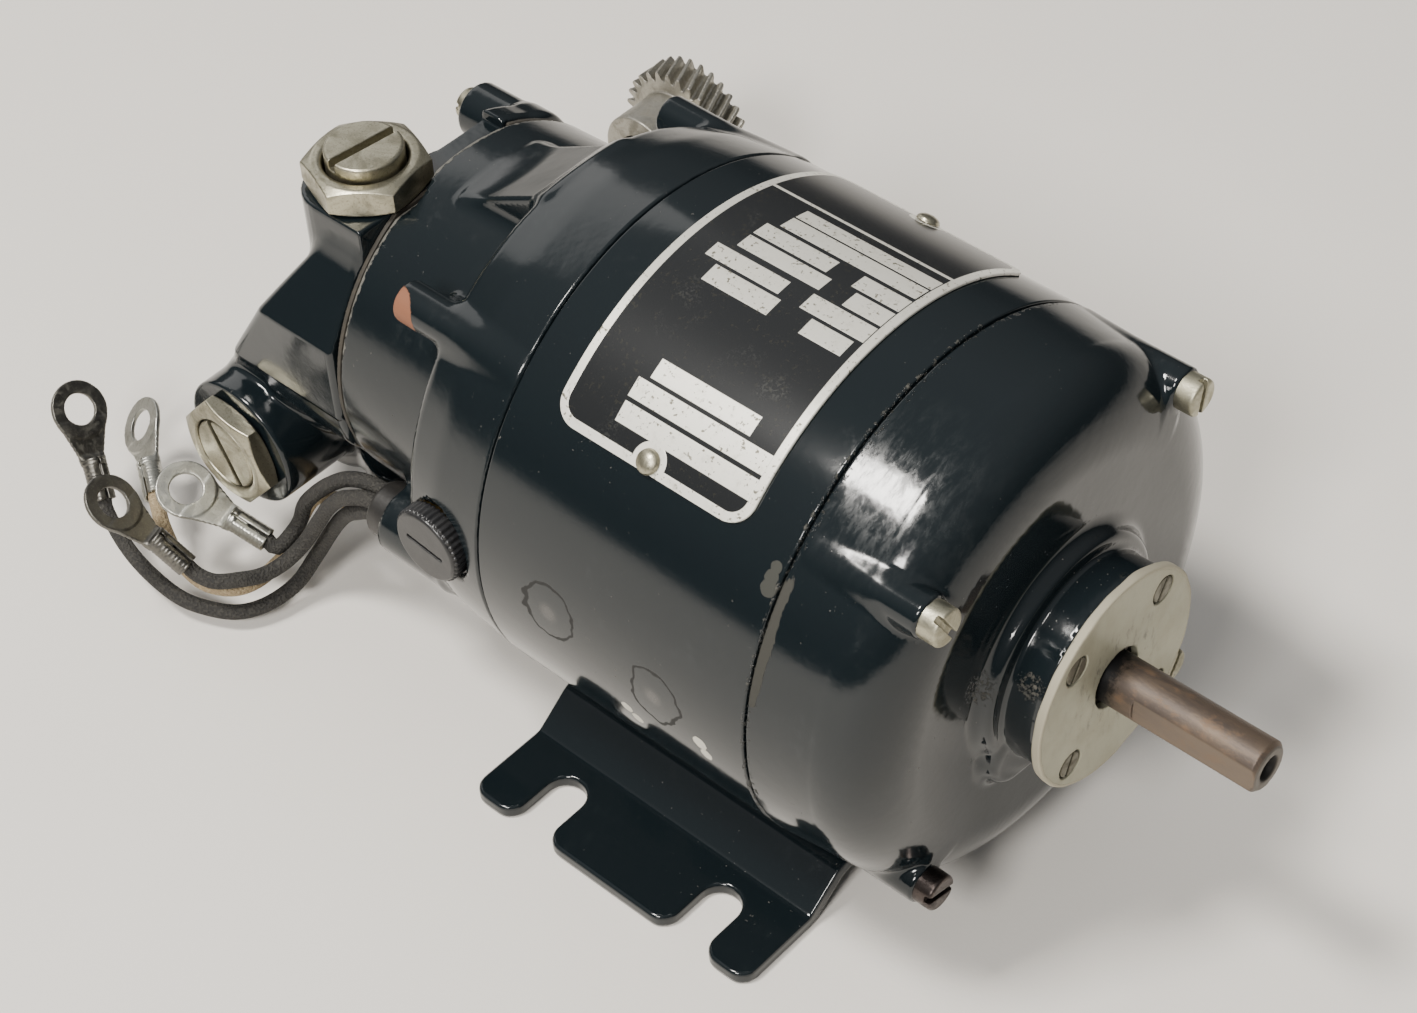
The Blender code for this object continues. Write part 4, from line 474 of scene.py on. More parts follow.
class Paint:
    """A node material, worked on in millimetres of the row's frame."""

    def __init__(self, name, colour, roughness, metallic=0.0):
        self.material = bpy.data.materials.new(name)
        self.material.use_nodes = True
        self.tree = self.material.node_tree
        self.inputs = self.tree.nodes["Principled BSDF"].inputs
        self.now = {"Base Color": (*colour, 1), "Roughness": roughness, "Metallic": metallic}
        for socket, value in self.now.items():
            self.inputs[socket].default_value = value
        self.place = self.scaled(self.node("TexCoord").outputs["Object"], (1 / MM,) * 3)

    def node(self, kind, inputs=None, **settings):
        return add_node(self.tree, kind, inputs, **settings)

    def scaled(self, vector, scale):
        return self.node("VectorMath", {0: vector, 1: scale}, operation="MULTIPLY").outputs[0]

    def noise(self, size, detail=4.0, stretch=None, rough=0.55, warp=0.0):
        """Fractal noise whose features are about this many millimetres across."""
        place = self.scaled(self.place, stretch) if stretch else self.place
        inputs = {"Vector": place, "Scale": 1 / size, "Detail": detail}
        inputs |= {"Roughness": rough, "Distortion": warp}
        return self.node("TexNoise", inputs).outputs["Fac"]

    def band(self, value, low, high, start=0.0, end=1.0):
        """A value brought smoothly from one range to another, held at its ends."""
        inputs = {"Value": value, "From Min": low, "From Max": high, "To Min": start, "To Max": end}
        return self.node("MapRange", inputs, interpolation_type="SMOOTHSTEP").outputs["Result"]

    def blots(self, size, low, high, detail=4.0, top=1.0, **shape):
        """Noise brought to a share: 0 where it is below the low value, and the top above the high one."""
        return self.band(self.noise(size, detail, **shape), low, high, 0.0, top)

    def calc(self, operation, a, b=0.0):
        return self.node("Math", {0: a, 1: b}, operation=operation).outputs[0]

    def times(self, *shares):
        """The product of several shares."""
        return reduce(lambda a, b: self.calc("MULTIPLY", a, b), shares)

    def most(self, *shares):
        """The largest of several shares."""
        return reduce(lambda a, b: self.calc("MAXIMUM", a, b), shares)

    def hypotenuse(self, a, b):
        return self.calc("SQRT", self.calc("ADD", self.calc("POWER", a, 2.0), self.calc("POWER", b, 2.0)))

    def coordinates(self):
        """x, y and z in the motor's frame."""
        split = self.node("SeparateXYZ", {0: self.place})
        return [self.calc("ADD", split.outputs[index], ORIGIN[index]) for index in range(3)]

    def away(self, point):
        """The distance from a point of the motor's frame."""
        inputs = {0: self.place, 1: tuple(np.array(point, float) - ORIGIN)}
        return self.node("VectorMath", inputs, operation="DISTANCE").outputs["Value"]

    def near(self, point, inner, outer):
        """1 within a distance of a point of the motor's frame, and 0 beyond another."""
        return self.band(self.away(point), inner, outer, 1.0, 0.0)

    def gap(self, value, centre):
        return self.calc("ABSOLUTE", self.calc("SUBTRACT", value, centre))

    def belt(self, value, centre, half, soft):
        """1 where a value is this near to a centre, fading to 0 a little farther off."""
        return self.band(self.gap(value, centre), half, half + soft, 1.0, 0.0)

    def lay(self, socket, kind, value, shares):
        """Brings one of the shader's inputs to a value, as far as the product of the shares says."""
        inputs = {"Factor": self.times(*shares), "A": self.now[socket], "B": value}
        self.now[socket] = self.node("Mix", inputs, data_type=kind).outputs["Result"]
        put(self.tree, self.inputs[socket], self.now[socket])

    def tint(self, colour, *shares):
        """Lays a colour over the base colour."""
        self.lay("Base Color", "RGBA", (*colour, 1), shares)

    def dull(self, roughness, *shares):
        """Brings the roughness to this."""
        self.lay("Roughness", "FLOAT", roughness, shares)

    def bump(self, height, depth):
        """Raises the surface by this many millimetres where the height is 1."""
        normal = self.inputs["Normal"]
        inputs = {"Distance": depth * MM, "Height": height}
        if normal.is_linked:
            inputs["Normal"] = normal.links[0].from_socket
        put(self.tree, normal, self.node("Bump", inputs).outputs["Normal"])

    def grain(self, size=0.5, depth=0.03):
        self.bump(self.noise(size, rough=0.7), depth)

    def crust(self, colour, size, *shares, height=0.1):
        """A dry, ragged deposit or bare patch where the shares are high."""
        ragged = self.calc("ADD", self.times(*shares), self.times(self.noise(size, 5, rough=0.75), 0.9))
        ragged = self.band(ragged, 1.02, 1.12)
        self.tint(colour, ragged)
        self.dull(0.75, ragged)
        self.bump(ragged, height)


def enamel(name, orange_peel=0.02, roughness=0.1):
    """Glossy black enamel with a blue-green cast, faint rub marks and dust."""
    paint = Paint(name, (0.006, 0.0095, 0.0115), roughness)
    rub = paint.blots(26, 0.5, 0.72, 5, rough=0.6, warp=1.5)
    fine = paint.blots(1.6, 0.42, 0.75, 6, rough=0.7)
    paint.dull(0.32, rub, fine)
    paint.tint((0.035, 0.04, 0.042), rub, paint.band(fine, 0, 1, 0, 0.35))
    dust = paint.times(paint.blots(0.55, 0.73, 0.78, 2, rough=0.4), paint.blots(18, 0.45, 0.65, 3))
    paint.tint((0.16, 0.15, 0.13), dust, 0.5)
    paint.dull(0.7, dust)
    paint.bump(paint.noise(3.2, 2), orange_peel)
    return paint


def chip(paint, marks, soft, colour, size, height):
    """Chips on the shell's paint, each mark with its x, angle and reach."""
    shares = [paint.near(spot(x, SHELL_RADIUS, angle), reach, reach + soft) for x, angle, reach in marks]
    paint.crust(colour, size, paint.most(*shares), height=height)


def shell_paint():
    """Enamel on the tube, with chips, the outlines of two dried drops and a crust at the seam."""
    paint = enamel("shell_enamel", 0.012)
    dull_marks = ((49.3, 140.8, 0.5), (49.2, 142.8, 0.7), (49.4, 144.8, 0.9))
    chip(paint, dull_marks, 1.0, (0.032, 0.033, 0.027), 0.8, 0.1)
    bare_marks = ((27.4, 193.2, 0.7), (29.0, 195.4, 0.7), (42.2, 187.6, 0.9), (43.1, 190.4, 0.7))
    chip(paint, bare_marks, 0.9, (0.55, 0.53, 0.46), 0.6, -0.05)
    drop_radius = 7.2
    for x, angle in ((13.9, 178.0), (33.9, 182.5)):
        middle = spot(x, SHELL_RADIUS, angle)
        uneven = paint.calc("ADD", paint.away(middle), paint.times(paint.noise(5.0, 2), 5.0))
        outline = paint.belt(uneven, drop_radius, 0.15, 0.25)
        paint.dull(0.3, paint.band(uneven, 7.0, drop_radius, 0.4, 0.0))
        paint.dull(0.8, outline)
        paint.tint((0.012, 0.012, 0.011), outline)
        paint.tint((0.12, 0.11, 0.1), paint.near(middle, 0.5, 2.2), 0.4)
    x, y, _ = paint.coordinates()
    seam = paint.belt(x, SHELL_LENGTH, 0.3, 0.9)
    paint.crust((0.07, 0.068, 0.058), 1.2, seam, paint.band(y, 5, 15, 0.55, 0.2))
    return paint.material


def front_paint():
    """Enamel on the front casting, with smears on its dome and dry crusts at its seam and hub."""
    paint = enamel("front_enamel", 0.03)
    x, y, z = paint.coordinates()
    smear = paint.blots(1.5, 0.40, 0.70, 6, stretch=(1.0, 0.35, 0.35), rough=0.72, warp=0.3)
    smear = paint.times(smear, paint.near(spot(59, 41.5, 118), 5, 17))
    paint.dull(0.3, smear)
    paint.tint((0.06, 0.065, 0.066), smear, 0.2)
    uneven = paint.calc("SUBTRACT", x, paint.times(paint.noise(4.0, 3), 1.6))
    low = paint.times(paint.band(z, 31, 24), paint.band(z, 5, 11), paint.band(y, 0, 5, 0.92, 0.0))
    thick = paint.times(paint.belt(uneven, FRONT_SEAM_X - 0.2, 0.6, 1.3), low)
    thin = paint.times(paint.belt(uneven, FRONT_SEAM_X - 0.4, 0.5, 1.0), 0.53)
    paint.crust((0.032, 0.031, 0.025), 0.9, paint.most(thick, thin))
    web = paint.times(paint.near(spot(66.5, 35.0, 139), 1.5, 7.0), 0.64)
    hub = paint.times(paint.near(spot(77.5, 16.2, 152), 1.0, 6.0), 0.6)
    foot = paint.times(paint.near(spot(72.0, 20.0, 160), 1.0, 9.0), 0.58)
    paint.crust((0.075, 0.07, 0.058), 0.5, paint.most(web, hub, foot))
    return paint.material


def rear_paint():
    """Enamel on the rear casting, flaked along its rim and bare on the end of one boss."""
    paint = enamel("rear_enamel", 0.03, 0.15)
    x, _, z = paint.coordinates()
    rim = paint.band(x, NECK_END_X + 0.3, NECK_END_X + 1.8, 1.0, 0.0)
    paint.crust((0.12, 0.115, 0.10), 1.3, rim, paint.band(z, 2, 12, 0.2, 0.72))
    boss_end = paint.near(spot(-25.8, BOLT_CIRCLE + 1.2, 138), 3.6, 5.2)
    paint.crust((0.22, 0.088, 0.045), 0.9, boss_end)
    return paint.material


def metal(name, colour, roughness, stain, stain_share=0.5, blot_size=2.6):
    """Worn plated or plain metal with stains and scratches."""
    paint = Paint(name, colour, roughness, 1.0)
    blot = paint.blots(blot_size, 0.42, 0.68, 5, rough=0.65, warp=0.8)
    paint.tint(stain, blot, stain_share)
    paint.dull(min(roughness + 0.25, 0.9), blot)
    paint.tint(stain, paint.blots(0.32, 0.52, 0.72, 3, rough=0.6), stain_share)
    paint.grain()
    return paint.material


def disc_paint():
    """Pale matt disc, cleaner in its middle, with a crusty edge and smears round the shaft."""
    paint = Paint("pale_disc", (0.36, 0.35, 0.265), 0.5, 0.5)
    _, y, z = paint.coordinates()
    radius = paint.hypotenuse(y, z)
    paint.tint((0.27, 0.25, 0.175), paint.blots(7.0, 0.40, 0.65, rough=0.6), 0.4)
    smear = paint.blots(1.2, 0.50, 0.72, 5, stretch=(1, 1.0, 0.4), rough=0.7)
    paint.tint((0.10, 0.095, 0.08), smear, paint.band(radius, 7.0, 12.0, 0.75, 0.12))
    paint.crust((0.42, 0.39, 0.30), 1.0, paint.band(radius, 16.3, 17.2, 0.0, 0.8), height=0.08)
    paint.grain(0.6)
    return paint.material


def dielectric(name, colour, roughness, stain, grain=0.5, depth=0.03):
    """A plain matt or satin surface that isn't metal."""
    paint = Paint(name, colour, roughness)
    paint.tint(stain, paint.blots(2.6, 0.42, 0.68, 5, rough=0.65, warp=0.8), 0.5)
    paint.grain(grain, depth)
    return paint.material


def braid(name, colour, stain):
    """Woven cotton over a lead."""
    paint = Paint(name, colour, 0.85)
    weave = paint.blots(0.45, 0.35, 0.65, 2, rough=0.4)
    paint.tint(stain, weave, 0.6)
    paint.tint(stain, paint.blots(3.5, 0.45, 0.7), 0.35)
    paint.bump(weave, 0.18)
    return paint.material


def plate_paint():
    """Black plate with bare border, header line and blank bare fields."""
    paint = Paint("plate_finish", (0.012, 0.013, 0.014), 0.22)
    x, y, z = paint.coordinates()
    along = paint.times(paint.calc("ARCTAN2", z, y), PLATE_RADIUS)
    shares = []
    for low, high, first, last in PLATE_FIELDS:
        first, last = (math.radians(degrees) * PLATE_RADIUS for degrees in (first, last))
        sides = ((x, low, high), (along, first, last))
        belts = [paint.belt(way, (a + b) / 2, (b - a) / 2 - 0.05, 0.1) for way, a, b in sides]
        shares.append(paint.times(*belts))
    reach = []
    for way, (a, b) in ((x, PLATE_X), (along, PLATE_ARC)):
        inset = paint.calc("SUBTRACT", paint.gap(way, (a + b) / 2), (b - a) / 2 - PLATE_CORNER)
        reach.append(paint.calc("MAXIMUM", inset, 0.0))
    border = PLATE_CORNER - PLATE_BORDER
    shares.append(paint.band(paint.hypotenuse(*reach), border - 0.05, border + 0.05))
    shares += [paint.near(spot(RIVET_X, PLATE_RADIUS, degrees), 2.75, 2.9) for degrees in RIVET_ANGLES]
    bare = paint.most(*shares)
    grain = paint.blots(0.45, 0.5, 0.62, 3, rough=0.6)
    paint.tint((0.10, 0.10, 0.09), paint.blots(9, 0.55, 0.75, top=0.35), grain)
    paint.tint((0.86, 0.84, 0.76), bare)
    paint.tint((0.45, 0.44, 0.39), bare, paint.band(z, 38.5, 41.8, 0.0, 0.55))
    spots = paint.times(paint.blots(0.62, 0.60, 0.66, 3, rough=0.5), paint.blots(4, 0.42, 0.56, 3))
    paint.tint((0.09, 0.08, 0.045), spots, paint.band(bare, 0, 1, 0.12, 0.9))
    paint.tint((0.40, 0.38, 0.30), paint.blots(1.6, 0.50, 0.8, 5, 0.5, rough=0.7), bare)
    put(paint.tree, paint.inputs["Metallic"], paint.times(bare, 0.3))
    paint.dull(0.42, bare)
    paint.bump(bare, 0.03)
    return paint.material


def shaft_paint():
    """Brown-tinted steel, black where it enters the cap, dark round its end and in its centre hole."""
    paint = Paint("shaft_finish", (0.125, 0.093, 0.069), 0.5, 0.6)
    x, y, _ = paint.coordinates()
    streak = paint.blots(3.0, 0.42, 0.62, 5, stretch=(0.2, 1, 1), rough=0.65, warp=0.8)
    paint.tint((0.075, 0.06, 0.052), streak, 0.8)
    rust = paint.blots(2.0, 0.50, 0.68, 5, stretch=(0.6, 1, 1), rough=0.7)
    paint.tint((0.20, 0.125, 0.075), rust, 0.6)
    paint.dull(0.62, rust)
    flat = paint.times(paint.band(y, -3.36, -3.30, 1.0, 0.0), paint.band(x, 86.8, 87.2))
    paint.tint((0.22, 0.172, 0.13), flat, 0.45)
    ragged = paint.calc("ADD", x, paint.times(paint.noise(1.6, 5, rough=0.7), -5.0))
    black = paint.band(ragged, 79.8, 81.8, 1.0, 0.0)
    paint.tint((0.008, 0.008, 0.009), black)
    paint.dull(0.5, black)
    paint.tint((0.13, 0.12, 0.105), paint.band(x, SHAFT_END_X - 0.3, SHAFT_END_X - 0.1, 0.0, 0.8))
    paint.tint((0.015, 0.014, 0.013), paint.near((SHAFT_END_X - 0.4, 0, 0), 1.9, 2.3))
    paint.grain()
    return paint.material


SHELL_PAINT = shell_paint()
FRONT_PAINT = front_paint()
REAR_PAINT = rear_paint()
CAST_PAINT = enamel("cast_enamel", 0.03, 0.13).material
BASE_PAINT = enamel("base_enamel", 0.015).material
NICKEL = metal("old_nickel", (0.43, 0.405, 0.31), 0.30, (0.15, 0.14, 0.10), 0.6, 6.0)
SLOTTED = metal("dull_screw", (0.17, 0.16, 0.125), 0.45, (0.08, 0.075, 0.055))
BOLT_METAL = metal("bolt_nickel", (0.46, 0.44, 0.34), 0.38, (0.22, 0.20, 0.14), 0.4, 4.0)
PAINTED_BOLT = metal("painted_bolt", (0.085, 0.07, 0.065), 0.3, (0.02, 0.018, 0.018), 0.6, 1.6)
STEEL = metal("worn_steel", (0.40, 0.38, 0.35), 0.36, (0.10, 0.08, 0.06))
GEAR_STEEL = metal("gear_steel", (0.40, 0.385, 0.34), 0.42, (0.22, 0.205, 0.165))
DISC = disc_paint()
TERMINAL = metal("tinned_terminal", (0.46, 0.46, 0.42), 0.32, (0.22, 0.21, 0.17))
DARK_TERMINAL = metal("dark_terminal", (0.13, 0.125, 0.115), 0.34, (0.26, 0.25, 0.21), 0.4, 1.4)
BRASS = metal("old_brass", (0.55, 0.40, 0.16), 0.38, (0.28, 0.18, 0.07))
BRONZE = metal("bush_bronze", (0.48, 0.30, 0.14), 0.42, (0.22, 0.13, 0.06))
COPPER = metal("winding_copper", (0.55, 0.24, 0.11), 0.35, (0.25, 0.09, 0.04))
CARBON = dielectric("brush_carbon", (0.02, 0.02, 0.021), 0.6, (0.035, 0.035, 0.035))
BAKELITE = dielectric("black_bakelite", (0.012, 0.012, 0.013), 0.32, (0.03, 0.03, 0.03), 0.6, 0.015)
SLEEVE = dielectric("black_rubber", (0.014, 0.013, 0.012), 0.45, (0.03, 0.028, 0.025), 0.8, 0.05)
GASKET = dielectric("painted_gasket", (0.03, 0.026, 0.02), 0.7, (0.06, 0.05, 0.035))
BRAID = braid("black_braid", (0.018, 0.017, 0.016), (0.05, 0.047, 0.04))
TAN_BRAID = braid("tan_braid", (0.42, 0.33, 0.20), (0.26, 0.19, 0.11))


def bolt_rods(radius, start, end, edge=0.3):
    """Rods on the through-bolts' circle."""
    return [rod("X", spot(0, BOLT_CIRCLE, angle), radius, start, end, edge) for angle in BOLT_ANGLES]


def bossed(fillet, body, bosses, circle, start, end, deep, wide):
    """A casting with the through-bolts' bosses, each on a radial web."""
    arms = []
    for angle, boss in zip(BOLT_ANGLES, bosses):
        turn = Matrix.Rotation(math.radians(angle), 3, "X")
        y, z = polar(circle, angle)
        web = slab((start, y - deep, z - wide), (end, y + deep, z + wide), 1.2, turn)
        arms.append(joined(0.6, boss, web))
    return joined(fillet, body, *arms)


def shell():
    """Rolled tube over the field."""
    outline = [(0, SHELL_BORE), (0, SHELL_RADIUS), (SHELL_LENGTH, SHELL_RADIUS), (SHELL_LENGTH, SHELL_BORE)]
    sides = 220
    angle = 2 * math.pi * np.arange(sides) / sides
    rings = []
    for x, radius in rounded(outline, [0, 0.35, 0.35, 0]):
        rings.append(np.stack((np.full(sides, x), radius * np.cos(angle), radius * np.sin(angle)), 1))
    quads = np.array(strips(len(rings), sides, closed=True))[:, ::-1]
    mesh = mesh_of("shell", np.concatenate(rings), quads)
    mesh.set_sharp_from_angle(angle=math.radians(35))
    piece("shell", mesh, SHELL_PAINT, "motor_shell")


def front_shield():
    """Domed casting with its hub, collar and four bolt bosses."""
    shoulder = FRONT_SEAM_X + 10.5
    outline = [(FRONT_SEAM_X + 0.35, SHELL_RADIUS), (shoulder, SHELL_RADIUS - 1.0)]
    outline += [(shoulder + 10 * along, 30 + 11.85 * up) for along, up in arc((0, 0), 1.0, 90, 0, 24)[1:]]
    outline += [(FRONT_FACE_X, HUB_BORE), (FRONT_FACE_X - 3.2, HUB_BORE), (FRONT_FACE_X - 3.2, 30)]
    outline += [(FRONT_SEAM_X + 10, 38.6), (FRONT_SEAM_X, 39.6), (FRONT_SEAM_X, SHELL_RADIUS - 0.35)]
    collar_ends = (FRONT_FACE_X - 2, FRONT_FACE_X + 2.6, 1.2)
    collar = rod("X", AXIS, 18.6, *collar_ends)
    corner = rod("X", spot(0, 15.5, 225), 6.0, *collar_ends)
    hub = rod("X", AXIS, 16.2, FRONT_FACE_X - 2, HUB_FACE_X, 0.4)
    body = joined(2.0, turned("X", outline), joined(0.8, joined(1.5, collar, corner), hub))
    bosses = bolt_rods(BOSS_RADIUS, FRONT_SEAM_X + 1, FRONT_BOSS_END_X, 0.5)
    body = bossed(1.0, body, bosses, 34.5, FRONT_SEAM_X + 4, FRONT_FACE_X - 1.0, 5.5, 2.9)
    bore = rod("X", AXIS, HUB_BORE, FRONT_FACE_X - 6, HUB_FACE_X + 1)
    body = wavy(without(0.3, body, bore), 0.05, 22, 3)
    box = around("X", AXIS, 44, FRONT_SEAM_X - 1, HUB_FACE_X + 1)
    carved("front_shield", body, box, 0.6, FRONT_PAINT, "front_end_shield")


def rear_shield():
    """Casting with its skirt, neck, bosses, top wedge, lead boss and brush seats."""
    skirt_end = -17.6
    corners = [(-0.25, 38.5), (-0.25, SHELL_RADIUS), (-9.7, SHELL_RADIUS - 0.9), (skirt_end, 40.2)]
    corners += [(skirt_end - 0.6, NECK_RADIUS + 0.6), (NECK_END_X, NECK_RADIUS), (NECK_END_X, NECK_BORE)]
    corners += [(-31, NECK_BORE), (-31, 11.25), (-22.5, 11.25), (-22.5, 24.5), (-14.4, 37)]
    radii = [0, 0.35, 20, 3.0, 3.6, 0.5, 0, 0, 0, 0, 0, 0]
    ramp = [(-34, NECK_RADIUS - 0.9), (skirt_end + 1.5, 39.3), (skirt_end + 1.5, 28.2), (-34, 28.2)]
    body = joined(2.2, turned("X", rounded(corners, radii)), extruded("Y", ramp, -8.2, 8.2, 0.8))
    body = bossed(1.6, body, bolt_rods(BOSS_RADIUS, -0.8, -26, 0.6), 34.0, -25, -14, 5, 2.8)
    lead_boss = spot(0, *LEAD_BUSHING)
    body = joined(2.2, body, rod("X", lead_boss, 5.8, -30.6, -16, 0.8))
    brush = (BRUSH_X, 0, 0)
    seats, holes = [], []
    for side in (-1, 1):
        seats.append(rod("Y", brush, 7.4, side * 33, side * (BRUSH_SEAT_Y - 1), 0.4))
        holes.append(rod("Y", brush, 6.8, side * BRUSH_SEAT_Y, side * 48, 0.2))
        holes.append(rod("Y", brush, 5.85, side * 21, side * 48, 0.2))
    body = joined(0.8, body, *seats)
    holes.append(rod("X", lead_boss, 4.85, -31.6, -11.4, 0.2))
    holes.append(rod("Z", (*INTERMEDIATE, 0), NUT_CORNER + 0.5, PEDESTAL_TOP_Z, PEDESTAL_TOP_Z + 10, 0.1))
    holes += bolt_rods(2.33, -24.5, 5, 0.2)
    body = wavy(without(0.35, body, *holes), 0.06, 20, 5)
    box = around("X", AXIS, 44, NECK_END_X - 1, 0.6)
    carved("rear_shield", body, box, 0.6, REAR_PAINT, "rear_end_shield")


def gear_housing():
    """Casting over both worm stages."""
    x_out, z_out = OUTPUT
    x_in, y_in = INTERMEDIATE
    output, vertical = (x_out, 0, z_out), (x_in, y_in, 0)
    radius = NECK_RADIUS - 0.2
    roof = math.degrees(math.atan2(21.0, -21.7))
    low_angle = math.degrees(math.asin(-6.0 / radius))
    section = [(-30.3, -6.0), (-30.3, 8.0)] + arc((0, 0), radius, roof, -180 - low_angle, 80)
    across = extruded("X", section, REAR_END_X, HOUSING_FRONT_X, 0.5)
    cowl = 11.3
    reach = Vector((x_out + 50.5, z_out - 24.0))
    lean = math.degrees(math.asin(cowl / reach.length))
    heading = math.degrees(math.atan2(reach.y, reach.x))
    side = [(HOUSING_FRONT_X, -31.7), (HOUSING_FRONT_X, 31.7), (HOUSING_FLANGE_X, 31.7)]
    side += [(HOUSING_FLANGE_X, 24.0), (-50.5, 24.0)]
    side += arc((x_out, z_out), cowl, heading - lean + 270, 270, 24)
    side += [(HOUSING_FLANGE_X, -31.0), (HOUSING_FLANGE_X, -31.7)]
    body = within(1.6, across, extruded("Y", side, -36, 36, 0.5))
    body = without(1.0, body, slab((REAR_END_X - 5, 0, -40), (HOUSING_FLANGE_X, 40, 40), 0.1))
    drum = rod("Y", output, 15.5, -17.65, -6.5, 1.0)
    near_boss = rod("Y", output, 11.5, NEAR_BOSS_FACE_Y, -15, 0.6)
    far_boss = rod("Y", output, 10.0, -8.4, 31.0, 0.6)
    body = joined(1.8, body, joined(1.6, drum, near_boss, far_boss))
    rib = slab((-60, -1, z_out - 2.5), (HOUSING_FLANGE_X + 1, 24, z_out + 2.5), 1.0)
    corners = [(HOUSING_FRONT_X, y_in - 9.4), (x_in - 9.4, y_in - 9.4), (x_in - 9.4, y_in + 9.4)]
    corners.append((HOUSING_FRONT_X, y_in + 9.4))
    pedestal = extruded("Z", rounded(corners, [0, 7, 9, 0]), 0.5, PEDESTAL_TOP_Z, 0.5)
    bottom = rod("Z", vertical, 7.6, -40, -24, 1.0)
    cover = rod("X", AXIS, 7.6, -61.5, -48, 1.0)
    lugs, holes = [], []
    for angle, lug_end in LUGS:
        centre = spot(0, LUG_CIRCLE, angle)
        lugs.append(rod("X", centre, 4.6, lug_end, HOUSING_FRONT_X - 0.1, 0.8))
        holes.append(rod("X", centre, 3.2, lug_end, REAR_END_X - 5, 0.2))
        holes.append(rod("X", centre, LUG_HOLE, lug_end - 1, HOUSING_FRONT_X + 5, 0.2))
    body = joined(2.0, body, rib, pedestal, bottom, cover, *lugs)
    notch_far = (HOUSING_FRONT_X + 5, NOTCH_FAR_Y, NOTCH_TOP_Z)
    notch = slab((x_in - 11.4, y_in - 12.4, PEDESTAL_TOP_Z), notch_far, 0.1)
    for axis, centre, bore, start, end in (
        ("X", AXIS, NECK_BORE, HOUSING_FLANGE_X + 1.5, HOUSING_FRONT_X + 5),
        ("Z", vertical, 6.6, 13, 30),
        ("Z", vertical, 8.0, -30, 16),
        ("Y", output, 6.6, -35, -15),
        ("Y", output, 12.9, -16.3, -7.9),
        ("Y", output, 4.97, -8, 24),
        ("Y", output, 6.6, 23.2, 33),
    ):
        holes.append(rod(axis, centre, bore, start, end, 0.2))
    body = wavy(without(0.45, body, notch, *holes), 0.06, 18, 8)
    box = ((REAR_END_X - 1, -35, -41), (HOUSING_FRONT_X + 1, 32, 32))
    carved("gear_casting", body, box, 0.55, CAST_PAINT, "gear_housing")


def base_plate():
    """Pressed foot plate."""
    thickness = 2.5
    ground = GROUND_Z + thickness / 2
    saddle = SHELL_RADIUS + SEAT_GAP + thickness / 2
    half_angle = math.degrees(math.asin(10 / saddle))
    ends_x, edge_y = (-4.9, 52.3), 46.6
    half = [(0, -saddle - 0.2), (24.0, -saddle - 0.2), (31.0, ground), (edge_y, ground)]
    bends = rounded(half, [0, 3, 3, 0], 10)[1:]
    path = [(-y, z) for y, z in reversed(bends)]
    path += arc((0, 0), saddle, -90 - half_angle, -90 + half_angle, 24) + bends
    sides = ([], [])
    for index, point in enumerate(path):
        before = Vector(path[max(index - 1, 0)])
        after = Vector(path[min(index + 1, len(path) - 1)])
        along = (after - before).normalized()
        normal = Vector((-along.y, along.x)) * thickness / 2
        sides[0].append(tuple(Vector(point) + normal))
        sides[1].append(tuple(Vector(point) - normal))
    plate = extruded("X", sides[0] + sides[1][::-1], *ends_x, 0.5)
    slot_half = 3.5
    near, radii = [(ends_x[0], -edge_y)], [3.4]
    for middle in (23.7 - 16.15, 23.7 + 16.15):
        for x, y in ((-1, 0), (-1, 1), (1, 1), (1, 0)):
            near.append((middle + x * slot_half, -edge_y + y * 11.8))
        radii += [3.4, 3.48, 3.48, 3.4]
    near.append((ends_x[1], -edge_y))
    radii.append(3.4)
    plan = rounded(mirrored(near), radii + radii[::-1])
    body = within(0.6, plate, extruded("Z", plan, GROUND_Z - 5, GROUND_Z + 20, 0.1))
    box = ((-6, -48, -52), (53.4, 48, -40))
    carved("foot_plate", body, box, 0.5, BASE_PAINT, "base_plate")


def slotted_head(radius, height, slot_width, slot_depth, slot_angle, crown=0.5):
    """A screw head about the origin, rising along +Z from 0, with its slot cut."""
    turn = Matrix.Rotation(math.radians(slot_angle), 3, "Z")
    reach, half = radius + 2, slot_width / 2
    slot = slab((-reach, -half, height - slot_depth), (reach, half, height + 2), 0.05, turn)
    return without(0.12, peg(radius, -0.5, height, 0, crown), slot)


